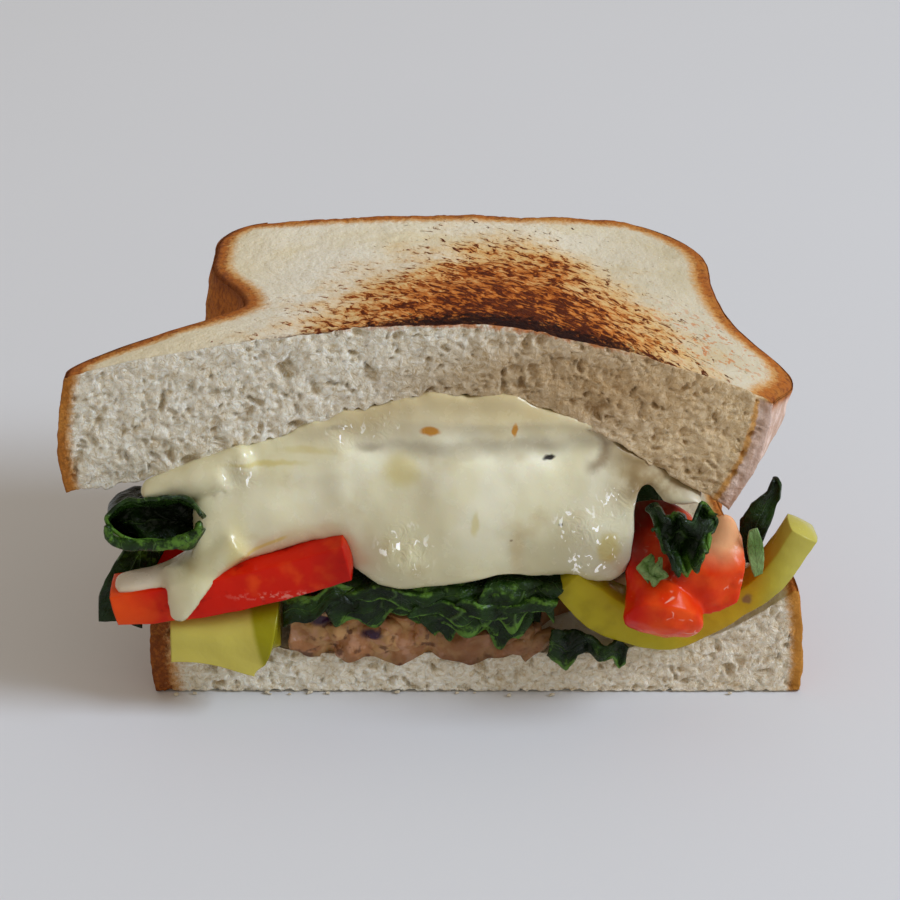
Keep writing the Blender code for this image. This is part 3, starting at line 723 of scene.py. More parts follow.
def leavesHeight(x, y):
    # level with a slow wave at the cut, rising smoothly to the back
    front = filling["leavesTop"] - 0.0016 * ease(0.020, 0.028, -x) + 0.0006 * np.cos(x / 0.006)
    return mix(front, filling["leavesBackTop"], ease(-0.026, 0.014, y))


def fillingSides(v):
    # left and right limits of the spread and the leaves, at share v of the way back
    y = mix(cut["y"] + 0.0004, 0.0245, v)
    left = -0.0268 - 0.0050 * ease(-0.018, -0.008, y)
    right = 0.0150 + 0.0235 * ease(-0.0246, -0.0110, y)
    roundOff = 0.006 * ease(0.014, 0.0245, y)
    return y, left + roundOff, right - roundOff


def spreadForm(u, v, w):
    # from just over the bottom slice to the spread's upper edge, lumpy with soft onion
    y, left, right = fillingSides(v)
    x = mix(left, right, u)
    z = mix(baseHeight(x, y) + 1.5 * cut["gap"], spreadHeight(x, y), w)
    points = stack(x, y, z)
    lump = 0.0018 * ripple(points, 0.0052, 7) + 0.0005 * ripple(points, 0.0020, 8)
    hem = (0.0018 * ripple(points * (1, 0, 0), 0.0060, 9) + 0.0015) * ease(0, 0.10, u) * ease(1, 0.80, u)
    z = z - np.where((v == 0) & (w == 0), hem, 0)
    y = y + np.where(v == 0, lump - 0.0012, np.where(v == 1, lump, 0))
    x = x + np.where((u == 0) | (u == 1), lump / 2, 0)
    return stack(x, y, z), {"lump": lump * 1000}


def onionBits():
    # soft shreds of onion lying on the front of the spread, each a short bent strip
    shreds = []
    pick = np.random.default_rng(4)
    for i in range(filling["onions"]):
        x = pick.uniform(-0.0262, 0.0155)
        low = 0.0084 + 0.0035 * max(0.0, (-x - 0.018) / 0.010)
        high = float(spreadHeight(np.array(x), np.array(cut["y"]))) - 0.0008
        z = pick.uniform(low, max(low + 0.001, high))
        lean, half = pick.uniform(-0.9, 0.9), pick.uniform(0.0012, 0.0034)
        y = pick.uniform(-0.0306, -0.0297)
        side, rise = half * math.cos(lean), half * math.sin(lean)
        path = [(x - side, y + 0.0010, z - rise), (x, y, z + 0.0003), (x + side, y + 0.0008, z + rise)]
        wide = pick.uniform(0.0030, 0.0056)

        def size(u, wide=wide):
            return wide * 0.6, wide * 0.7 * np.sin(0.7 + 1.8 * u)
        form = sweptForm((14, 10, 10), splineThrough(path), size, 0.9)
        form[0][:] += 0.0006 * stack(*(ripple(form[0], 0.0030, i + k) for k in range(3)))
        form[2]["lump"] = np.full(len(form[0]), pick.uniform(-1.5, 2.5))
        shreds.append(form)
    return joined(shreds)


def leafCore(u, v, w):
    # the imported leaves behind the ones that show
    y, left, right = fillingSides(v)
    x = mix(left, right, u)
    z = mix(spreadHeight(x, y) + 1.8 * cut["gap"], leavesHeight(x, y), w)
    points = stack(x, y, z * 1.6)
    frill = 0.0012 * ripple(points, 0.0035, 1)
    y = y + np.where(v == 0, frill - 0.0004, np.where(v == 1, frill, 0))
    x = x + np.where((u == 0) | (u == 1), frill / 2, 0)
    # painted shade: the layer behind the front leaves is painted darker all over
    return stack(x, y, z), {"ahead": u * 4, "aside": w - 0.5, "shade": np.full_like(u, -0.45)}


# each front leaf: left, right, top, bottom, depth in front, seed
frontLeaves = [
    (-0.0188, -0.0020, 0.0224, 0.0158, -0.0322, 1), (-0.0080, 0.0070, 0.0222, 0.0142, -0.0316, 3),
    (-0.0020, 0.0166, 0.0226, 0.0142, -0.0328, 2), (0.0015, 0.0120, 0.0186, 0.0120, -0.0318, 5),
    (-0.0030, 0.0055, 0.0178, 0.0124, -0.0325, 8), (0.0060, 0.0174, 0.0226, 0.0164, -0.0336, 7),
    (-0.0150, -0.0050, 0.0190, 0.0150, -0.0317, 9), (-0.0168, -0.0030, 0.0224, 0.0196, -0.0333, 11),
    (-0.0060, 0.0080, 0.0196, 0.0172, -0.0336, 12), (0.0030, 0.0168, 0.0204, 0.0176, -0.0342, 14),
]


def frontLeafForms():
    # wilted leaves that hang out of the layer: each comes forward, folds over and droops to a wavy edge
    forms = []
    for left, right, high, low, front, seed in frontLeaves:
        def place(u, v, left=left, right=right, high=high, low=low, front=front, seed=seed):
            x = mix(left, right, u) + 0.0010 * np.sin(5 * v + seed)
            x = x + (right - left) * 0.18 * np.sin(np.pi * v) * (u - 0.5)
            y = mix(-0.0262, front, ease(0.0, 0.45, v))
            edge = 0.26 * np.sin(4 * u + seed) + 0.15 * np.sin(15 * u + 2 * seed)
            droop = (high - low) * np.maximum(0, (v - 0.35) / 0.65) * (0.85 + edge * v)
            z = high + 0.0006 * np.sin(8 * u + seed) - droop
            points = stack(x, y, z)
            folds = ripple(points * (1.0, 0.4, 0.45), 0.0042, 60 + seed)
            out = 0.0012 * folds * ease(0.1, 0.6, v) + 0.0003 * rough(points, 0.0022, seed)
            points[..., 1] += np.minimum(out, 0.0010)
            points[..., 2] += 0.0003 * ripple(points, 0.0024, 70 + seed) * v
            # painted light: lighter along the drooping edge, along the fold and where the folds bulge
            # forward, darker elsewhere
            shade = 0.75 * ease(0.88, 1.0, v) + 0.5 * ease(0.12, 0.0, np.abs(v - 0.42))
            shade = shade + 0.5 * np.maximum(0, -folds) - 0.22
            return points, {"ahead": v, "aside": u - 0.5, "shade": shade}
        forms.append(sheetForm((44, 34), place))
    return joined(forms)


# the loose leaves, each a wavy sheet of its own

leafShape = {
    "outerLeft": [
        (0.0220, 0.0500), (0.0267, 0.0486), (0.0305, 0.0484), (0.0335, 0.0500), (0.0360, 0.0527),
        (0.0378, 0.0536),
    ],
    "outerRight": [(0.0220, 0.0506), (0.0277, 0.0526), (0.0340, 0.0549), (0.0364, 0.0549), (0.0378, 0.0543)],
}


def leafPlace(x, y, z, u, v, seed, crinkle=0.0004, shade=0.0):
    # adds small crinkles to a leaf's own form; its shade is painted light, from -1, painted shade, to 1,
    # painted highlight, and above 1 the pale green of a pale leaf
    points = stack(x, y, z)
    points[..., 1] += crinkle * rough(points, 0.0028, seed)
    points[..., 2] += crinkle * ripple(points, 0.0022, seed + 5)
    return points, {"ahead": u, "aside": v - 0.5, "shade": shade + 0 * u}


def leafFolded(u, v):
    # a leaf rolled round like a cup lying on its side, open to the front
    turn = mix(-2.75, 2.75, u)
    tall = mix(0.0043, 0.0030, ease(0.15, 0.95, v)) * (1 - 0.5 * ease(0.8, 1.0, v))
    x = -0.0474 - 0.0080 * np.cos(turn) * (1 + 0.10 * v) * (1 - 0.7 * ease(0.8, 1.0, v))
    z = mix(0.0383, 0.0352, ease(0, 0.3, v)) - tall * np.sin(turn) * (1 + 0.08 * np.cos(3 * turn))
    y = mix(-0.0376, -0.0245, v) + 0.0007 * np.sin(5 * turn)
    # painted light: the lower front lip is painted lighter as a painted highlight, and further back the roll
    # is painted darker as painted shade, less on its upper side
    lip = ease(0.22, 0.04, v) * (0.15 + 0.85 * ease(-0.2, 0.7, np.sin(turn) + 0.4 * np.cos(turn)))
    inside = 0.95 * ease(0.16, 0.34, v) * mix(0.4, 1.0, ease(-0.3, 0.3, np.sin(turn)))
    return leafPlace(x, y, z, u, v, 101, 0.0003, lip - inside)


def leafFoldedInner(u, v):
    # the inside of the rolled leaf: a sheet painted near black towards the upper right as painted shade, and
    # lighter green towards the lower left
    x = mix(-0.0548, -0.0400, u)
    z = 0.0356 + 0.0042 * np.sqrt(np.maximum(0, 1 - (2 * u - 1) ** 2)) * (2 * v - 1)
    y = -0.0340 + 0.0034 * (2 * u - 1) ** 2 + 0.0010 * np.sin(9 * u + 6 * v) + 0.0030 * u * v
    return leafPlace(x, y, z, u, v, 108, 0.0007, mix(-0.95, 0.05, ease(1.15, 0.55, u + 0.8 * v)))


def leafHanging(u, v):
    # a drooping tongue: its outer side bows out by a sine, its inner side slants
    outer = -0.0506 - 0.0086 * np.sin(np.pi / 2 * np.minimum(1, 0.12 + u))
    inner = mix(-0.0474, -0.0520, ease(0.0, 0.7, u))
    z = mix(0.0280, 0.0116, u) + 0.0012 * np.sin(2.5 * v + 1.0)
    y = -0.0276 + 0.0022 * v * (1 - u) + 0.0006 * np.sin(9 * u)
    # painted light: lighter near its top, painted shade towards its lower end
    shade = 0.25 * ease(0.5, 0.2, u) - 0.35 * ease(0.55, 0.8, u)
    return leafPlace(mix(outer, inner, v), y, z, u, v, 102, 0.0003, shade)


def leafFrontLeft(u, v):
    # a leaf lying on its side that widens to the left, with a wave along it
    x = mix(-0.0276, -0.0160, u)
    y = mix(-0.0340, -0.0322, v) - 0.0006 * np.sin(4 * u)
    z = mix(mix(0.0156, 0.0206, v), mix(0.0205, 0.0228, v), ease(0, 0.9, u)) + 0.0007 * np.sin(11 * u)
    # painted light: lighter along its upper edge, painted shade along its lower edge
    return leafPlace(x, y, z, u, v, 103, 0.0003, 0.8 * ease(0.55, 0.95, v) - 0.4 * ease(0.5, 0.1, v))


def leafFrontTip(u, v):
    # a crinkled tip that drapes over the crumb and ends in two points
    x = mix(0.0170, 0.0298, u) - 0.0006 * (1 - v)
    fall = mix(0.0080, 0.0128, v)
    points = 0.0022 * np.exp(-((u - 0.22) / 0.10) ** 2) + 0.0020 * np.exp(-((u - 0.93) / 0.07) ** 2)
    z = mix(fall + 0.0022 * v, fall - 0.0018 * v, u) + (0.0012 - points) * (1 - v) + 0.0004 * np.sin(17 * u)
    y = -0.0330 - 0.0008 * np.sin(9 * u + 2 * v) - 0.0005 * np.sin(19 * u)
    # painted light: lighter along its pointed lower edge and in stripes across it, a little darker elsewhere
    shade = 0.5 * ease(0.25, 0.0, v) + 0.35 * np.sin(9 * u + 3 * v) - 0.15
    return leafPlace(x, y, z, u, v, 104, 0.0005, shade)


def leafCurled(u, v):
    # a leaf folded into a crinkled cup, open to the front and painted dark inside as painted shade
    low = 0.0392 - 0.0092 * np.sin(np.pi * mix(0.06, 0.86, u)) ** 1.5 + 0.0009 * np.sin(31 * u)
    high = 0.0418 - 0.0012 * np.sin(np.pi * u) + 0.0006 * np.sin(17 * u)
    x = mix(0.0322, 0.0424, u) + 0.0007 * np.sin(9 * v + 4 * u)
    y = -0.0413 + 0.0012 * np.sin(13 * u + 3 * v) + 0.0024 * np.sin(np.pi * v) + 0.0010 * v
    # painted light: lighter stripes across it and a lighter upper edge; its lower tip is pale green
    shade = 0.9 * ease(0.34, 0.0, v) * ease(0.25, 0.5, u) + 0.4 * ease(0.90, 1.0, v)
    shade = shade + 0.4 * np.sin(13 * u + 3 * v) - 0.25
    return leafPlace(x, y, mix(low, high, v), u, v, 105, 0.0008, shade)


def leafBit(u, v):
    # a scrap of pale leaf that lies on the red pepper
    x = 0.0330 + 0.0020 * (2 * u - 1) * np.sqrt(1 - 0.8 * (2 * v - 1) ** 2) + 0.0006 * np.sin(7 * v)
    z = 0.0290 + 0.0019 * (2 * v - 1) + 0.0005 * np.sin(9 * u)
    y = -0.0388 + 0.0012 * v + 0.0004 * np.sin(9 * u + 5 * v)
    return leafPlace(x, y, z, u, v, 111, 0.0006, 1.9 + 0.5 * np.sin(6 * u + 4 * v))


def leafOuter(u, v):
    # an upright leaf between a drawn left and right side
    z = mix(0.0222, 0.0378, u)
    left, right = along(leafShape["outerLeft"], z), along(leafShape["outerRight"], z)
    y = -0.0246 + 0.0006 * np.sin(6 * u + 4 * v) + 0.0012 * u
    # painted light: a little darker all over as painted shade, lighter along its right edge
    return leafPlace(mix(left, right, v), y, z, u, v, 106, 0.0003, 0.25 * ease(0.75, 1.0, v) - 0.25)


def leafPale(u, v):
    # a narrow blade, widest at its middle by a sine
    wide = 0.0006 + 0.0020 * np.sin(np.pi * mix(0.12, 0.88, u))
    x = mix(0.0506, 0.0492, u) + wide * (v - 0.5)
    y = -0.0350 + 0.0004 * np.sin(5 * u)
    z = mix(0.0262, 0.0350, u) + 0.0006 * v
    return leafPlace(x, y, z, u, v, 107, 0.0002, 1.6 + 0.3 * np.sin(7 * u))


def leafMaterial(name):
    leaf = {
        "dark": (0.005, 0.013, 0.002), "mid": (0.014, 0.040, 0.004), "light": (0.100, 0.215, 0.024),
        "vein": (0.13, 0.24, 0.06), "hollow": (0.005, 0.008, 0.003),
        "pale": (0.25, 0.38, 0.14),
    }
    look = Recipe(name, leaf, Roughness=0.34, Specular_IOR_Level=0.20)
    ahead, aside, shade = (look.attribute(name) for name in ("ahead", "aside", "shade"))
    patches = look.noise(0.0050, 3)
    look.colour = look.blend("dark", "mid", (patches + shade * 0.15).between(0.36, 0.62))
    spread = aside.math("ABSOLUTE")
    wander = (look.noise(0.004, 2) - 0.5) * 0.9
    ribs = ((ahead * 5.0 - spread * 4.5 + wander) * math.pi).math("SINE").math("ABSOLUTE")
    lines = (1 - ribs.between(0.0, 0.16)).math("MAXIMUM", 1 - (spread + wander * 0.02).between(0.0, 0.03))
    look.paint("vein", lines * 0.38 * (1 + shade).clamped())
    # painted light: where shade is high the leaf is painted light green as a painted highlight, below 0 it is
    # painted near black as painted shade, and above 1 it turns the pale green of a pale leaf
    bright = (shade + (look.noise(0.0016, 3, 0.65) - 0.5) * 1.8).between(0.20, 0.62)
    look.paint("light", bright * 0.85)
    look.paint("hollow", (0 - shade).clamped())
    look.paint("pale", (shade - 1).between(0.0, 1.0) * 0.85)
    height = look.noise(0.0015, 4, 0.6, distortion=0.8) * 0.9 + lines * 0.4
    return look.finish(look.noise(0.002, 2) * 0.3 + 0.12, look.bump(height, 0.0006, 0.8))


def spreadMaterial():
    onion = {
        "brown": (0.36, 0.155, 0.055), "deep": (0.16, 0.060, 0.020), "tan": (0.47, 0.26, 0.10),
        "pink": (0.48, 0.25, 0.14), "dark": (0.10, 0.034, 0.014), "purple": (0.035, 0.009, 0.028),
        "stains": [
            ((-0.0214, -0.032, 0.0150), (0.0022, 0.004, 0.0012)),
            ((-0.0131, -0.032, 0.0124), (0.0018, 0.004, 0.0010)),
        ],
    }
    look = Recipe(
        "onion_spread", onion, Roughness=0.26, Specular_IOR_Level=0.3, Subsurface_Weight=0.3,
        Subsurface_Radius=(0.002, 0.0009, 0.0005),
    )
    lump = look.attribute("lump")
    browner = (look.axis("X") + 0.004).between(-0.004, 0.008)
    look.colour = look.blend("brown", "tan", (look.noise(0.0040, 3) + lump * 0.05).between(0.44, 0.60))
    look.paint("pink", look.noise(0.0026, 3, place=look.moved((0.2, 0.3, 0))).between(0.52, 0.64) * 0.8)
    look.paint("dark", look.noise(0.0022, 3, place=look.moved((0.4, 0.1, 0))).between(0.56, 0.68) * 0.8)
    for centre, size in onion["stains"]:
        look.paint("purple", look.spot(centre, size, 0.4) * look.noise(0.0012, 3).between(0.25, 0.4))
    look.paint("deep", browner * 0.6)
    return look.finish(normal=look.bump(look.noise(0.0022, 3), 0.0007, 0.7))


def cupLip():
    # the thick rolled edge under the mouth of the folded leaf
    edge = splineThrough([
        (-0.0552, -0.0374, 0.0372), (-0.0546, -0.0380, 0.0350), (-0.0505, -0.0384, 0.0342),
        (-0.0450, -0.0382, 0.0344), (-0.0412, -0.0378, 0.0358), (-0.0404, -0.0370, 0.0376),
    ])

    def size(u):
        return 0.0016, 0.0011 + 0.0010 * np.sin(np.pi * u)

    def relief(points, u):
        return 0.00022 * rough(points, 0.0022, 109)
    form = sweptForm((70, 10, 10), edge, size, 0.95, 0.0003, relief)
    # painted lighter green, partly the leaf's own colour and partly painted highlight, varied by a ripple
    form[2]["shade"] = 0.35 + 0.3 * ripple(form[0], 0.0030, 110)
    return form


print("spread and leaves")
spread = makeMesh("onionSpread", joined([boxForm((130, 20, 30), spreadForm), onionBits()]))
handOver(spread, spreadMaterial(), "onion_spread", "onion_spread")
core = makeMesh("leafLayer", boxForm((150, 20, 24), leafCore))
leafGreen = leafMaterial("spinach_green")
handOver(core, leafGreen, "leaf", "leaf_layer")
front = thicken(makeMesh("frontLeaves", frontLeafForms()), filling["hangingSheet"])
handOver(front, leafGreen, "leaf", "leaf_layer")

looseLeaves = {
    "leaf_left_folded": ((72, 30), [leafFolded, leafFoldedInner]),
    "leaf_left_hanging": ((40, 20), [leafHanging]), "leaf_front_left": ((40, 16), [leafFrontLeft]),
    "leaf_front_tip": ((36, 20), [leafFrontTip]), "leaf_right_curled": ((40, 20), [leafCurled, leafBit]),
    "leaf_right_outer": ((44, 16), [leafOuter]), "leaf_right_pale": ((28, 12), [leafPale]),
}
for node, (cells, places) in looseLeaves.items():
    piece = makeMesh(node.replace("_", "-"), joined([sheetForm(cells, place) for place in places]))
    handOver(thicken(piece, filling["leafSheet"]), leafGreen, "leaf", node)
handOver(makeMesh("leafRolledEdge", cupLip()), leafGreen, "leaf", "leaf_left_folded")


# peppers

pepper = {
    "stripHeight": 0.0072, "stripDepth": 0.0085, "ringWall": 0.0082, "ringDepth": 0.0070, "voxel": 0.00036,
    "red": (0.62, 0.012, 0.002), "redDeep": (0.30, 0.005, 0.002), "redHoleShade": (0.05, 0.003, 0.003),
    "redOrange": (0.82, 0.085, 0.008), "redPale": (0.80, 0.42, 0.20), "membraneAndHighlight": (0.86, 0.50, 0.38),
    "yellow": (0.45, 0.37, 0.014), "yellowPale": (0.52, 0.46, 0.10), "yellowDeep": (0.27, 0.21, 0.006),
    "yellowAmber": (0.50, 0.28, 0.006), "wedgeFront": (0.52, 0.44, 0.085), "wedgeSide": (0.28, 0.25, 0.006),
    "seed": (0.20, 0.09, 0.05),
}


def pepperRelief(depth, seed):
    # a slow ripple and a fine one, the same along the whole strip
    return lambda points, u: depth * (ripple(points, 0.0065, seed) + 0.3 * ripple(points, 0.0020, seed + 1))


def redStripSpine(u):
    # a straight line, sagging a little by a sine
    bend = np.sin(np.pi * u)
    y = mix(-0.0335, -0.0318, u) - 0.0006 * bend
    z = mix(0.0208, 0.0290, u) - 0.0010 * bend
    middle = stack(mix(-0.0552, -0.0168, u), y, z)
    ahead = np.array((1, 0.02, 0.22)) / np.linalg.norm((1, 0.02, 0.22))
    up = np.cross(ahead, (0, 1, 0))
    ones = np.ones((len(u), 1))
    return middle, ones * ahead, ones * (0.0, 1.0, 0.0), ones * up / np.linalg.norm(up)


def redStripForm():
    # a strip with rounded sides, lower at its left end
    def size(u):
        return pepper["stripDepth"], mix(0.0060, pepper["stripHeight"], ease(0, 0.35, u))
    return sweptForm((150, 32, 28), redStripSpine, size, 0.34, 0.0007, pepperRelief(0.00018, 201))


def redRearForm():
    # a shorter strip with round sides, behind the first
    rear = splineThrough([(-0.0505, -0.0212, 0.0206), (-0.0430, -0.0212, 0.0246), (-0.0355, -0.0205, 0.0280)])
    relief = pepperRelief(0.0002, 211)
    return sweptForm((60, 24, 20), rear, lambda u: (0.0068, 0.0058), 0.6, 0.0006, relief)


def redLowLobe():
    # a nearly round strip that comes forward and down, thicker at its front end
    low = splineThrough(
        [
            (0.0348, -0.0400, 0.0205), (0.0352, -0.0340, 0.0236), (0.0360, -0.0260, 0.0262),
            (0.0350, -0.0180, 0.0272),
        ],
        (1, 0, -0.32),
    )
    return sweptForm((70, 34, 30), low, lambda u: (0.0128, mix(0.0100, 0.0080, u)), 0.85, 0.0018)


def redHighLobe(u, v, w):
    # a block that narrows upwards, its front rounded
    across, rise = 2 * v - 1, 2 * w - 1
    cap = 1 - ease(0.08, 0.30, u)
    half = mix(0.0046, 0.0061, cap) * mix(1.0, 0.46, ease(-0.1, 0.9, rise))
    tall = mix(0.0084, 0.0042, u)
    y = mix(-0.0378 + 0.0030 * ease(-0.1, 0.5, rise), -0.0278, u)
    y = y + np.where(u == 1, 0.0016, np.where(u == 0, -0.0016, 0)) * (1 - across ** 2) * (1 - rise ** 2)
    x = mix(0.0430, 0.0421, cap) + 0.0024 * ease(-0.1, 0.8, rise)
    x = x + across * np.sqrt(1 - 0.4 * rise ** 2) * half
    return stack(x, y, 0.0292 + rise * np.sqrt(1 - 0.4 * across ** 2) * tall), {"ahead": u}


def ringForm():
    # part of a ring, open at the top, its wall thinner at the left end and up the right arm
    ring = splineThrough([
        (0.0192, -0.0300, 0.0234), (0.0232, -0.0300, 0.0194), (0.0284, -0.0300, 0.0158),
        (0.0340, -0.0300, 0.0142), (0.0405, -0.0300, 0.0151), (0.0467, -0.0300, 0.0184),
        (0.0518, -0.0300, 0.0226), (0.0555, -0.0298, 0.0276), (0.0580, -0.0295, 0.0322),
    ])

    def size(u):
        wall = pepper["ringWall"] * (1 - 0.25 * ease(0.15, 0.0, u) - 0.34 * ease(0.42, 0.62, u))
        return pepper["ringDepth"], wall
    return sweptForm((190, 26, 28), ring, size, 0.55, 0.0006, pepperRelief(0.00022, 221))


def wedgeForm(u, v, w):
    # a strip that lies on the bottom slice and bends down over its front edge
    x = mix(-0.0462, mix(-0.0284, -0.0325, ease(0.4, 1.0, v)), u)
    back = np.minimum(1, v / 0.35)
    y = mix(-0.0205, -0.0310, back)
    under = baseHeight(x, y) + 0.0010
    turn = ease(0.35, 0.75, v) * math.radians(84)
    radius = mix(0.0010, mix(0.0182, 0.0196, u) - under + 0.0010, w)
    radius = mix(radius, mix(0.0010, 0.0064, w), ease(0.35, 0.75, v))
    down = np.maximum(0, (v - 0.68) / 0.32)
    y = y - radius * np.sin(turn) - 0.0006 * down
    z = under - 0.0010 + radius * np.cos(turn) - mix(0.0042, 0.0030, u) * down
    points = stack(x, y, z)
    points[..., 1] += 0.00025 * ripple(points, 0.005, 231) * np.where(w == 1, 1, 0)
    return points, {"ahead": v, "aside": 2 * u - 1, "above": 2 * w - 1}


def smoothed(piece, voxel, rounds):
    # melts the forms of a piece into one skin and smooths it
    remesh = piece.modifiers.new("Melt", "REMESH")
    remesh.mode = "VOXEL"
    remesh.voxel_size = voxel
    soften = piece.modifiers.new("Soften", "SMOOTH")
    soften.factor = 0.5
    soften.iterations = rounds
    graph = bpy.context.evaluated_depsgraph_get()
    mesh = bpy.data.meshes.new_from_object(piece.evaluated_get(graph))
    old = piece.data
    piece.modifiers.clear()
    piece.data = mesh
    bpy.data.meshes.remove(old)
    mesh.shade_smooth()
    return piece


def reshaped(piece, change):
    # moves every point of a piece by change(points, normals)
    mesh = piece.data
    points = np.empty(len(mesh.vertices) * 3, np.float32)
    mesh.vertices.foreach_get("co", points)
    points = points.reshape(-1, 3).astype(float)
    normals = np.empty(len(mesh.vertices) * 3, np.float32)
    mesh.vertex_normals.foreach_get("vector", normals)
    points = points + change(points, normals.reshape(-1, 3).astype(float))
    mesh.vertices.foreach_set("co", points.astype(np.float32).ravel())
    mesh.update()
    return piece


def redRelief(points, normals):
    # low humps and fine ripples outwards
    out = 0.00055 * ripple(points, 0.0052, 241) + 0.00012 * ripple(points, 0.0020, 242)
    return normals * out[:, None]


def redMaterial(name):
    look = Recipe(
        name, pepper, Roughness=0.26, Specular_IOR_Level=0.12, Subsurface_Weight=0.1,
        Subsurface_Radius=(0.003, 0.0004, 0.0002),
    )
    cloud = look.noise(0.006, 3)
    look.colour = look.blend("red", "redOrange", cloud.between(0.52, 0.72) * 0.55)
    look.paint("redDeep", look.noise(0.003, 3, place=look.moved((0.2, 0, 0))).between(0.58, 0.74) * 0.6)
    x = look.axis("X")
    bright = (x - 0.030).between(0.0, 0.004)
    look.paint("redOrange", bright * (cloud.between(0.35, 0.6) * 0.5 + 0.3))
    pith = look.spot((0.0445, -0.0350, 0.0360), (0.0050, 0.006, 0.0055), 0.5)
    look.paint("redPale", pith * (cloud * 0.6 + 0.6).clamped())
    tipped = look.spot((-0.0560, -0.0340, 0.0200), (0.0070, 0.008, 0.0060), 0.5)
    look.paint("redOrange", tipped * 0.9)
    # pale lines along the facets' edges: partly pale membranes, partly painted highlight
    lines = 1 - look.cells(0.0075, look.bent(0.005, 0.007), "DISTANCE_TO_EDGE").between(0.004, 0.030)
    lines = lines * look.noise(0.0035, 2).between(0.54, 0.62) * bright * 0.6
    look.paint("membraneAndHighlight", lines)
    far = look.spot((-0.0165, -0.0340, 0.0285), (0.0060, 0.010, 0.0070), 0.7)
    look.paint("redDeep", far * 0.6)
    # painted highlight: a few pale glints along the strip's lower front edge
    seamGlints = look.spot((-0.0255, -0.038, 0.0236), (0.0085, 0.004, 0.0007), 0.6)
    look.paint("membraneAndHighlight", seamGlints * look.noise(0.0010, 3).between(0.50, 0.60) * 0.35)
    # painted shade: deep in the hole beside the cheese it is painted nearly black
    z = look.axis("Z")
    holeShade = (1 - (x - 0.0375).between(-0.0005, 0.0025)) * (z - 0.0262).between(0.0, 0.0030)
    holeShade = holeShade * (x - 0.02).between(0.0, 0.005)
    look.paint("redHoleShade", holeShade * (0.75 + 0.2 * (z - 0.030).between(0.0, 0.004)))
    height = look.noise(0.0009, 3) * 0.35 + look.noise(0.0045, 2) * 0.4 + lines * 0.35
    return look.finish(look.noise(0.0025, 2) * 0.25 + 0.10, look.bump(height, 0.0003, 0.45))


def yellowMaterial(name):
    look = Recipe(
        name, pepper, Roughness=0.26, Specular_IOR_Level=0.16, Subsurface_Weight=0.15,
        Subsurface_Radius=(0.003, 0.003, 0.0004),
    )
    x, y, z = look.axis("X"), look.axis("Y"), look.axis("Z")
    cloud = look.noise(0.006, 3)
    look.colour = look.blend("yellow", "yellowDeep", cloud.between(0.48, 0.72) * 0.6)
    amber = (x - 0.034).between(0.0, 0.010) * (1 - (x - 0.049).between(0.0, 0.006))
    look.paint("yellowAmber", amber * 0.8)
    look.paint("yellowPale", (x - 0.050).between(0.0, 0.008) * 0.8)
    isWedge = 1 - (x + 0.022).between(-0.003, 0.001)
    onFront = 1 - (x + 0.0315 + (z - 0.012) * 0.25).between(-0.0006, 0.0006)
    faces = look.blend("wedgeSide", "wedgeFront", onFront)
    # painted shade: the wedge is darker above and behind its front, where it lies under the red strip
    faces = look.blend(faces, "yellowDeep", (y + 0.0345).between(0.0, 0.0025) * 0.6)
    look.paint(look.blend(faces, "yellowPale", cloud.between(0.5, 0.7) * 0.3), isWedge)
    look.paint("seed", look.spot((0.0492, -0.034, 0.0208), (0.0008, 0.004, 0.0009), 0.4) * 0.8)
    height = look.noise(0.0010, 3) * 0.4 + look.noise(0.0040, 2) * 0.5
    return look.finish(look.noise(0.0025, 2) * 0.25 + 0.10, look.bump(height, 0.0003, 0.45))


print("peppers")
redLook, yellowLook = redMaterial("red_pepper"), yellowMaterial("yellow_pepper")
handOver(makeMesh("redStrip", redStripForm()), redLook, "red_pepper", "red_strip")
handOver(makeMesh("redStripRear", redRearForm()), redLook, "red_pepper", "red_strip_rear")
redPiece = makeMesh("redPiece", joined([redLowLobe(), boxForm((40, 30, 34), redHighLobe)]))
smoothed(redPiece, pepper["voxel"], 5)
reshaped(redPiece, redRelief)
handOver(redPiece, redLook, "red_pepper", "red_piece")
handOver(makeMesh("yellowRing", ringForm()), yellowLook, "yellow_pepper", "yellow_ring")
yellowWedge = makeMesh("yellowWedge", boxForm((60, 100, 24), wedgeForm))
handOver(yellowWedge, yellowLook, "yellow_pepper", "yellow_wedge")


# melted cheese

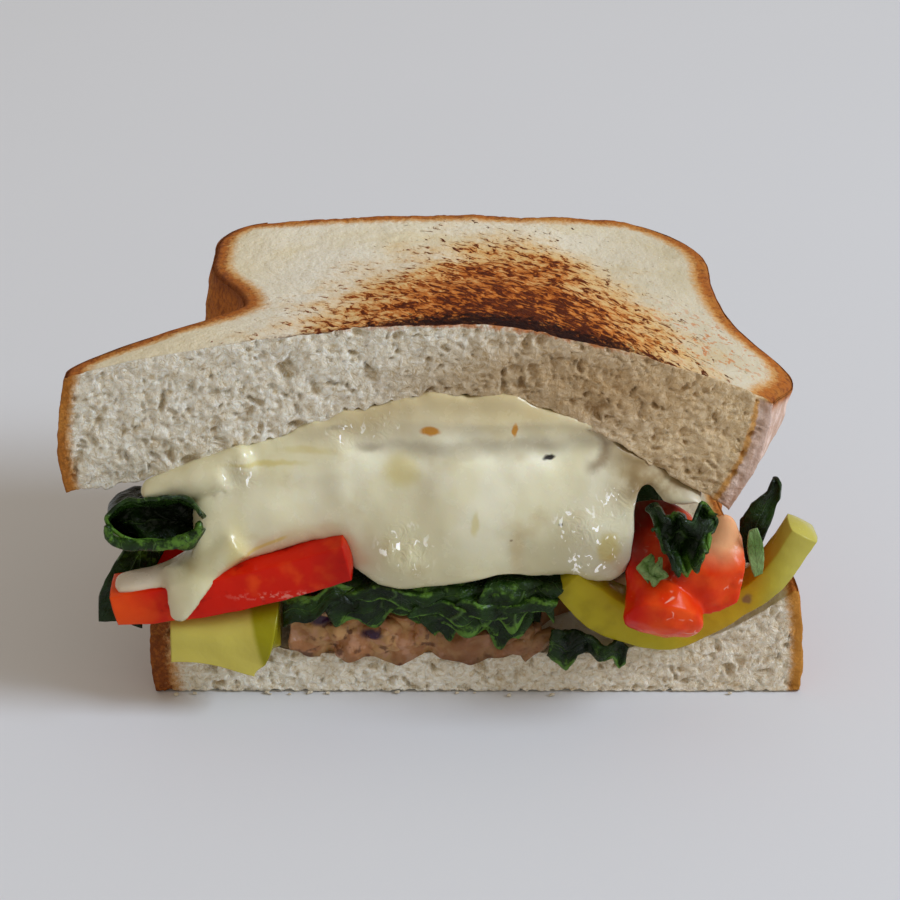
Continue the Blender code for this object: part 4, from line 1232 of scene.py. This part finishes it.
cheese = {
    "lip": 0.0062, "recess": 0.0008, "voxel": 0.00058, "smoothing": 13,
    "edge": [
        (-0.0420, 0.0235), (-0.0360, 0.0268), (-0.0240, 0.0305), (-0.0175, 0.0318), (-0.0160, 0.0262),
        (-0.0115, 0.0236), (-0.0080, 0.0228), (0.0030, 0.0242), (0.0160, 0.0240), (0.0205, 0.0254),
        (0.0265, 0.0236), (0.0290, 0.0258), (0.0302, 0.0395), (0.0322, 0.0415), (0.0350, 0.0372),
        (0.0390, 0.0368), (0.0415, 0.0400),
    ],
    "blisters": [
        ((0.0235, -0.0360, 0.0300), 0.0050), ((-0.0075, -0.0360, 0.0310), 0.0036),
        ((0.0275, -0.0345, 0.0385), 0.0030), ((-0.0168, -0.0330, 0.0500), 0.0026),
        ((-0.0345, -0.0325, 0.0440), 0.0028), ((0.0205, -0.0360, 0.0350), 0.0030),
        ((-0.0110, -0.0330, 0.0520), 0.0022),
    ],
    # how far it swells out, round which x with which width, and round which z with which height
    "swells": [
        (0.0019, -0.0085, 0.0052, 0.0280, 0.0044), (0.0027, 0.0235, 0.0056, 0.0300, 0.0064),
        (-0.0012, 0.0100, 0.0050, 0.0290, 0.0060), (0.0009, -0.0270, 0.0070, 0.0450, 0.0030),
        (0.0008, 0.0060, 0.0150, 0.0525, 0.0014),
    ],
    "body": (0.80, 0.745, 0.50), "pale": (0.84, 0.80, 0.62), "low": (0.80, 0.79, 0.72),
    "leftTint": (0.90, 0.88, 0.80), "warm": (0.60, 0.47, 0.23), "tan": (0.36, 0.25, 0.11),
    "brown": (0.20, 0.11, 0.040), "rose": (0.70, 0.56, 0.44), "oil": (0.60, 0.48, 0.12),
    "orange": (0.60, 0.26, 0.015), "greySpeckAndShade": (0.40, 0.34, 0.22), "purple": (0.05, 0.02, 0.045),
    "black": (0.015, 0.012, 0.010), "paintedGlint": (0.97, 0.97, 0.95),
}


def cheeseSheet(u, v, w):
    # from the leaves up to the top slice, with a curtain that hangs out over the cut
    y = mix(cut["y"], 0.0262, v ** 1.25)
    left = mix(0.0415, 0.0330, ease(-0.022, -0.008, y)) - 0.006 * ease(0.016, 0.0262, y)
    right = mix(0.0415, 0.0390, ease(-0.020, 0.0, y)) - 0.006 * ease(0.016, 0.0262, y)
    x = mix(-left, right, u)
    edge = along(cheese["edge"], x)
    inner = np.maximum(leavesHeight(x, y), spreadHeight(x, y)) + 1.7 * cut["gap"]
    settle = np.where(x > 0.0275, ease(-0.010, 0.002, y), ease(-0.0285, -0.0240, y))
    low = mix(edge, inner, settle)
    high = topUnderside(x, np.maximum(y, cut["y"])) - cut["gap"]
    z = mix(np.minimum(low, high - 0.0018), high, w)
    hang = np.sin(np.pi * 0.72 * (1 - w) ** 1.05)
    reach = cheese["lip"] * (0.78 + 0.22 * np.sin(x / 0.0065 + 1.4)) * (1 - 0.62 * ease(0.0275, 0.0325, x))
    y = y + np.where(v == 0, cheese["recess"] - reach * hang, 0)
    # its upper edge is smeared up over the crumb
    smear = ease(0.86, 1.0, w) * ease(-0.0262, -0.0288, y) * mix(1.0, 0.55, ease(0.030, 0.038, x))
    y = y - smear * np.where(v == 0, 0.0012, 0)
    level = stack(x, 0, 0)
    z = z + smear * (0.0008 + 0.0010 * ripple(level, 0.0065, 311) + 0.0006 * ripple(level, 0.0021, 312))
    return stack(x, y, z), {}


def cheeseForms():
    # the sheet with its curtain, and rounded strips: a tongue, a drip, a band and a seal under the slice
    tongue = splineThrough([
        (-0.0345, -0.0322, 0.0322), (-0.0420, -0.0330, 0.0268), (-0.0485, -0.0336, 0.0248),
        (-0.0548, -0.0340, 0.0241),
    ])
    drip = splineThrough(
        [
            (-0.0425, -0.0350, 0.0272), (-0.0434, -0.0380, 0.0254), (-0.0442, -0.0390, 0.0224),
            (-0.0446, -0.0390, 0.0206),
        ],
        (1, 0, 0),
    )
    band = splineThrough([
        (-0.0370, -0.0312, 0.0436), (-0.0420, -0.0314, 0.0421), (-0.0460, -0.0314, 0.0412),
        (-0.0500, -0.0312, 0.0402),
    ])
    sealed = np.array((-0.0330, -0.0390, -0.0445, -0.0495))
    seal = splineThrough(stack(sealed, -0.0308, topUnderside(sealed, cut["y"]) - 0.0011))
    return joined([
        boxForm((150, 50, 34), cheeseSheet),
        sweptForm(
            (60, 24, 20), tongue, lambda u: (mix(0.0100, 0.0056, u), mix(0.0084, 0.0020, u ** 0.5)), 0.95
        ),
        sweptForm((40, 16, 14), drip, lambda u: (mix(0.0098, 0.0026, u ** 0.8), 0.0024), 0.95),
        sweptForm((50, 16, 14), band, lambda u: (0.0050, mix(0.0060, 0.0024, u)), 0.95),
        sweptForm((50, 16, 14), seal, lambda u: (0.0038, mix(0.0052, 0.0030, u)), 0.9),
    ])


def cheeseRelief(points, normals):
    # soft runs, two lobes that sag forward, a hollow above them, and small blisters where it bubbled
    x, y, z = points.T
    shown = ease(-0.0270, -0.0300, y)
    soft = 0.00050 * ripple(points * (1.3, 1, 0.6), 0.0100, 301) + 0.00012 * ripple(points, 0.0034, 302)
    for swell, middleX, wide, middleZ, tall in cheese["swells"]:
        soft = soft + swell * np.exp(-((x - middleX) / wide) ** 2 - ((z - middleZ) / tall) ** 2)
    above = z - 0.0478 - 0.0008 * np.sin(x / 0.0035) - 0.0006 * np.sin(x / 0.0016)
    hollow = np.exp(-(above / 0.0020) ** 2) * ease(-0.020, -0.010, x) * ease(0.031, 0.024, x)
    blister = np.zeros(len(points))
    for centre, size in cheese["blisters"]:
        blister += ease(1.2, 0.3, np.linalg.norm((points - centre) / size, axis=1))
    bubbles = 0.00034 * ripple(points, 0.0026, 303) + 0.00014 * ripple(points, 0.0015, 304)
    behind = ease(0.016, 0.022, y) * 0.0011 * rough(points * (1, 1, 0.5), 0.0090, 305, 2)
    out = shown * (soft + np.minimum(blister, 1.2) * bubbles - 0.0012 * hollow) + behind
    return normals * out[:, None]


def cheeseMaterial():
    look = Recipe(
        "melted_cheese", cheese, Roughness=0.26, Specular_IOR_Level=0.5, Subsurface_Weight=0.3,
        Subsurface_Radius=(0.006, 0.004, 0.002), Emission_Strength=0.35,
    )
    x, z = look.axis("X"), look.axis("Z")
    cloud = look.noise(0.012, 3)
    look.colour = look.blend("body", "pale", cloud.between(0.42, 0.62) * 0.6)
    look.paint("warm", look.noise(0.008, 3, place=look.moved((0.3, 0, 0))).between(0.54, 0.72) * 0.4)
    # painted shade: the curtain is darkened towards its bottom
    look.paint("low", 1 - (z - 0.026).between(0.0, 0.015), "MULTIPLY")
    # browner and thinner towards the crumb, pinkish where it runs over the red strip
    reach = z + (look.noise(0.004, 3) - 0.5) * 0.004
    upper = (reach - 0.0560 + ((x - 0.003) / 0.050) ** 2 * 0.016).between(-0.0080, 0.0000)
    look.paint("warm", upper * (x + 0.024).between(-0.006, 0.010) * 0.8)
    # the upper right corner is painted tan, partly the crumb's colour showing and partly painted shade
    look.paint("tan", look.spot((0.0312, -0.032, 0.0458), (0.0052, 0.007, 0.0030), 0.6) * 0.75)
    crumbAndShadeMask = look.noise(0.0022, 3).between(0.30, 0.60) * 0.35 + 0.65
    look.paint("tan", (x - 0.023).between(0.0, 0.008) * (z - 0.036).between(0.0, 0.005) * crumbAndShadeMask)
    # darker and yellower towards the left end
    look.paint("leftTint", (1 - (x + 0.024).between(-0.006, 0.004)) * 0.8, "MULTIPLY")
    overStrip = (1 - (x + 0.046).between(-0.004, 0.005)) * (1 - (z - 0.028).between(0.0, 0.003))
    look.paint("rose", overStrip * 0.7)
    # oily patches, specks, browned folds and painted shade in a valley and a hollow: centre, size, soft edge,
    # colour, strength
    marks = (
        ((-0.0080, -0.035, 0.0447), (0.0032, 0.006, 0.0030), 0.4, "oil", 0.55),
        ((0.0258, -0.035, 0.0312), (0.0018, 0.006, 0.0026), 0.4, "oil", 0.7),
        ((0.0041, -0.035, 0.0362), (0.0006, 0.006, 0.0022), 0.5, "oil", 0.5),
        # painted shade: a darker warm band down the valley between the two lobes
        ((0.0110, -0.035, 0.0300), (0.0012, 0.006, 0.0050), 0.7, "warm", 0.6),
        ((-0.0345, -0.035, 0.0300), (0.0016, 0.008, 0.0060), 0.8, "oil", 0.45),
        ((-0.0300, -0.034, 0.0455), (0.0060, 0.006, 0.0005), 0.6, "oil", 0.6),
        ((-0.0230, -0.034, 0.0475), (0.0050, 0.006, 0.0005), 0.6, "oil", 0.4),
        ((0.0105, -0.0325, 0.0512), (0.0004, 0.006, 0.0015), 0.3, "orange", 1.0),
        ((-0.0032, -0.0325, 0.0512), (0.0017, 0.006, 0.0008), 0.3, "orange", 1.0),
        # painted shade: the next three grey marks lie along the hollow under the slice
        ((-0.0130, -0.033, 0.0478), (0.0022, 0.006, 0.0007), 0.7, "greySpeckAndShade", 0.7),
        ((0.0000, -0.033, 0.0482), (0.0120, 0.006, 0.0011), 0.8, "greySpeckAndShade", 0.5),
        ((0.0150, -0.033, 0.0480), (0.0090, 0.006, 0.0015), 0.8, "greySpeckAndShade", 0.55),
        ((-0.0180, -0.033, 0.0515), (0.0018, 0.006, 0.0004), 0.6, "greySpeckAndShade", 0.6),
        ((0.0161, -0.0335, 0.0459), (0.0011, 0.006, 0.0004), 0.3, "black", 1.0),
        ((0.0180, -0.0355, 0.0350), (0.0004, 0.006, 0.0003), 0.4, "black", 0.8),
        ((-0.0449, -0.039, 0.0203), (0.0008, 0.004, 0.0005), 0.4, "purple", 0.9),
        ((-0.0060, -0.031, 0.0568), (0.0006, 0.004, 0.0004), 0.4, "greySpeckAndShade", 0.9),
        ((0.0100, -0.036, 0.0320), (0.0003, 0.004, 0.0003), 0.4, "brown", 0.8),
    )
    for centre, size, blur, tint, much in marks:
        look.paint(tint, look.spot(centre, size, blur) * much)
    streak = look.add("VectorMath", {"operation": "SUBTRACT"}, {0: look.place, 1: (-0.0302, 0, 0.0313)})
    run = look.add("SeparateXYZ", {}, {"Vector": streak}, "X")
    rise = look.add("SeparateXYZ", {}, {"Vector": streak}, "Z")
    offLine = (rise - run * 0.36 + (look.noise(0.004, 2) - 0.5) * 0.0006).math("ABSOLUTE")
    onStreak = (1 - offLine.between(0.0001, 0.0006)) * (1 - run.math("ABSOLUTE").between(0.0025, 0.0042))
    look.paint("oil", onStreak * 0.75)
    # a brown fold shaped like a C, open to the left
    away = ((x - 0.0222) * (x - 0.0222) + (z - 0.0474) * (z - 0.0474)) ** 0.5
    offFold = (away - 0.0031 + (look.noise(0.002, 3) - 0.5) * 0.0016).math("ABSOLUTE")
    fold = 1 - offFold.between(0.0, 0.0017)
    look.paint("brown", fold * (x - 0.0212).between(0.0, 0.0024) * 0.62)
    height = look.noise(0.0016, 3) * 0.25 + look.noise(0.006, 2) * 0.7
    bubbly = 0.0
    for centre, size in cheese["blisters"]:
        bubbly = look.spot(centre, (size, 0.006, size), 0.7) + bubbly
    # painted highlight: white glints are painted into the colour on the blisters
    glint = look.noise(0.0014, 2, 0.5, look.moved(turn=0.5, stretch=(0.7, 1, 1.3)), 0.8).between(0.60, 0.66)
    paintedGlint = (glint * look.noise(0.0040, 2).between(0.40, 0.52) * bubbly).clamped()
    look.paint("paintedGlint", paintedGlint)
    # painted glow: the painted glints also emit a little light, though cheese is no lamp
    look.feed(look.shader.inputs["Emission Color"], look.blend((0, 0, 0), "paintedGlint", paintedGlint))
    skin = look.bump(height, 0.0004, 0.3)
    blistered = look.bump(look.noise(0.0019, 2, 0.5, distortion=1.5) * bubbly, 0.0007, 0.4, skin)
    dull = (x - 0.027).between(0.0, 0.005) * (z - 0.037).between(0.0, 0.003)
    gloss = look.noise(0.003, 3) * 0.3 + 0.10 - bubbly * 0.10 + dull * 0.35
    return look.finish(gloss.math("MAXIMUM", 0.07), blistered)


print("cheese")
melt = makeMesh("meltedCheese", cheeseForms())
smoothed(melt, cheese["voxel"], cheese["smoothing"])
reshaped(melt, cheeseRelief)
handOver(melt, cheeseMaterial(), "cheese", "cheese")


# crumbs along the foot of the bottom slice

crumbs = {
    "number": 14, "left": -0.0470, "right": 0.0560, "front": -0.0303, "reach": 0.0010,
    "half": (0.00015, 0.00036),
}


def footCrumbs():
    # rough little lumps that stand on the floor, each a short rounded strip
    lumps = []
    pick = np.random.default_rng(7)
    for i in range(crumbs["number"]):
        x = pick.uniform(crumbs["left"], crumbs["right"])
        y = crumbs["front"] - pick.uniform(0, 1) ** 2 * crumbs["reach"]
        half = pick.uniform(*crumbs["half"])
        line = splineThrough([(x - half, y, 0.7 * half), (x + half, y, 0.9 * half)])
        form = sweptForm((7, 6, 6), line, lambda u: (1.8 * half, 1.5 * half), 0.95, 0.0001)
        form[0][:] += 0.4 * half * stack(*(ripple(form[0], 1.6 * half, i + k) for k in range(3)))
        ones = np.ones(len(form[0]))
        extras = {"rim": 6 * ones, "pore": 0 * ones, "onCut": ones, "lip": 6 * ones}
        lumps.append((form[0], form[1], extras))
    return joined(lumps)


print("crumbs")
# the crumbs are too small for a pattern, so they have the CAD model's plain bread
handOver(makeMesh("footCrumbs", footCrumbs()), bpy.data.materials["bread"], "bread")
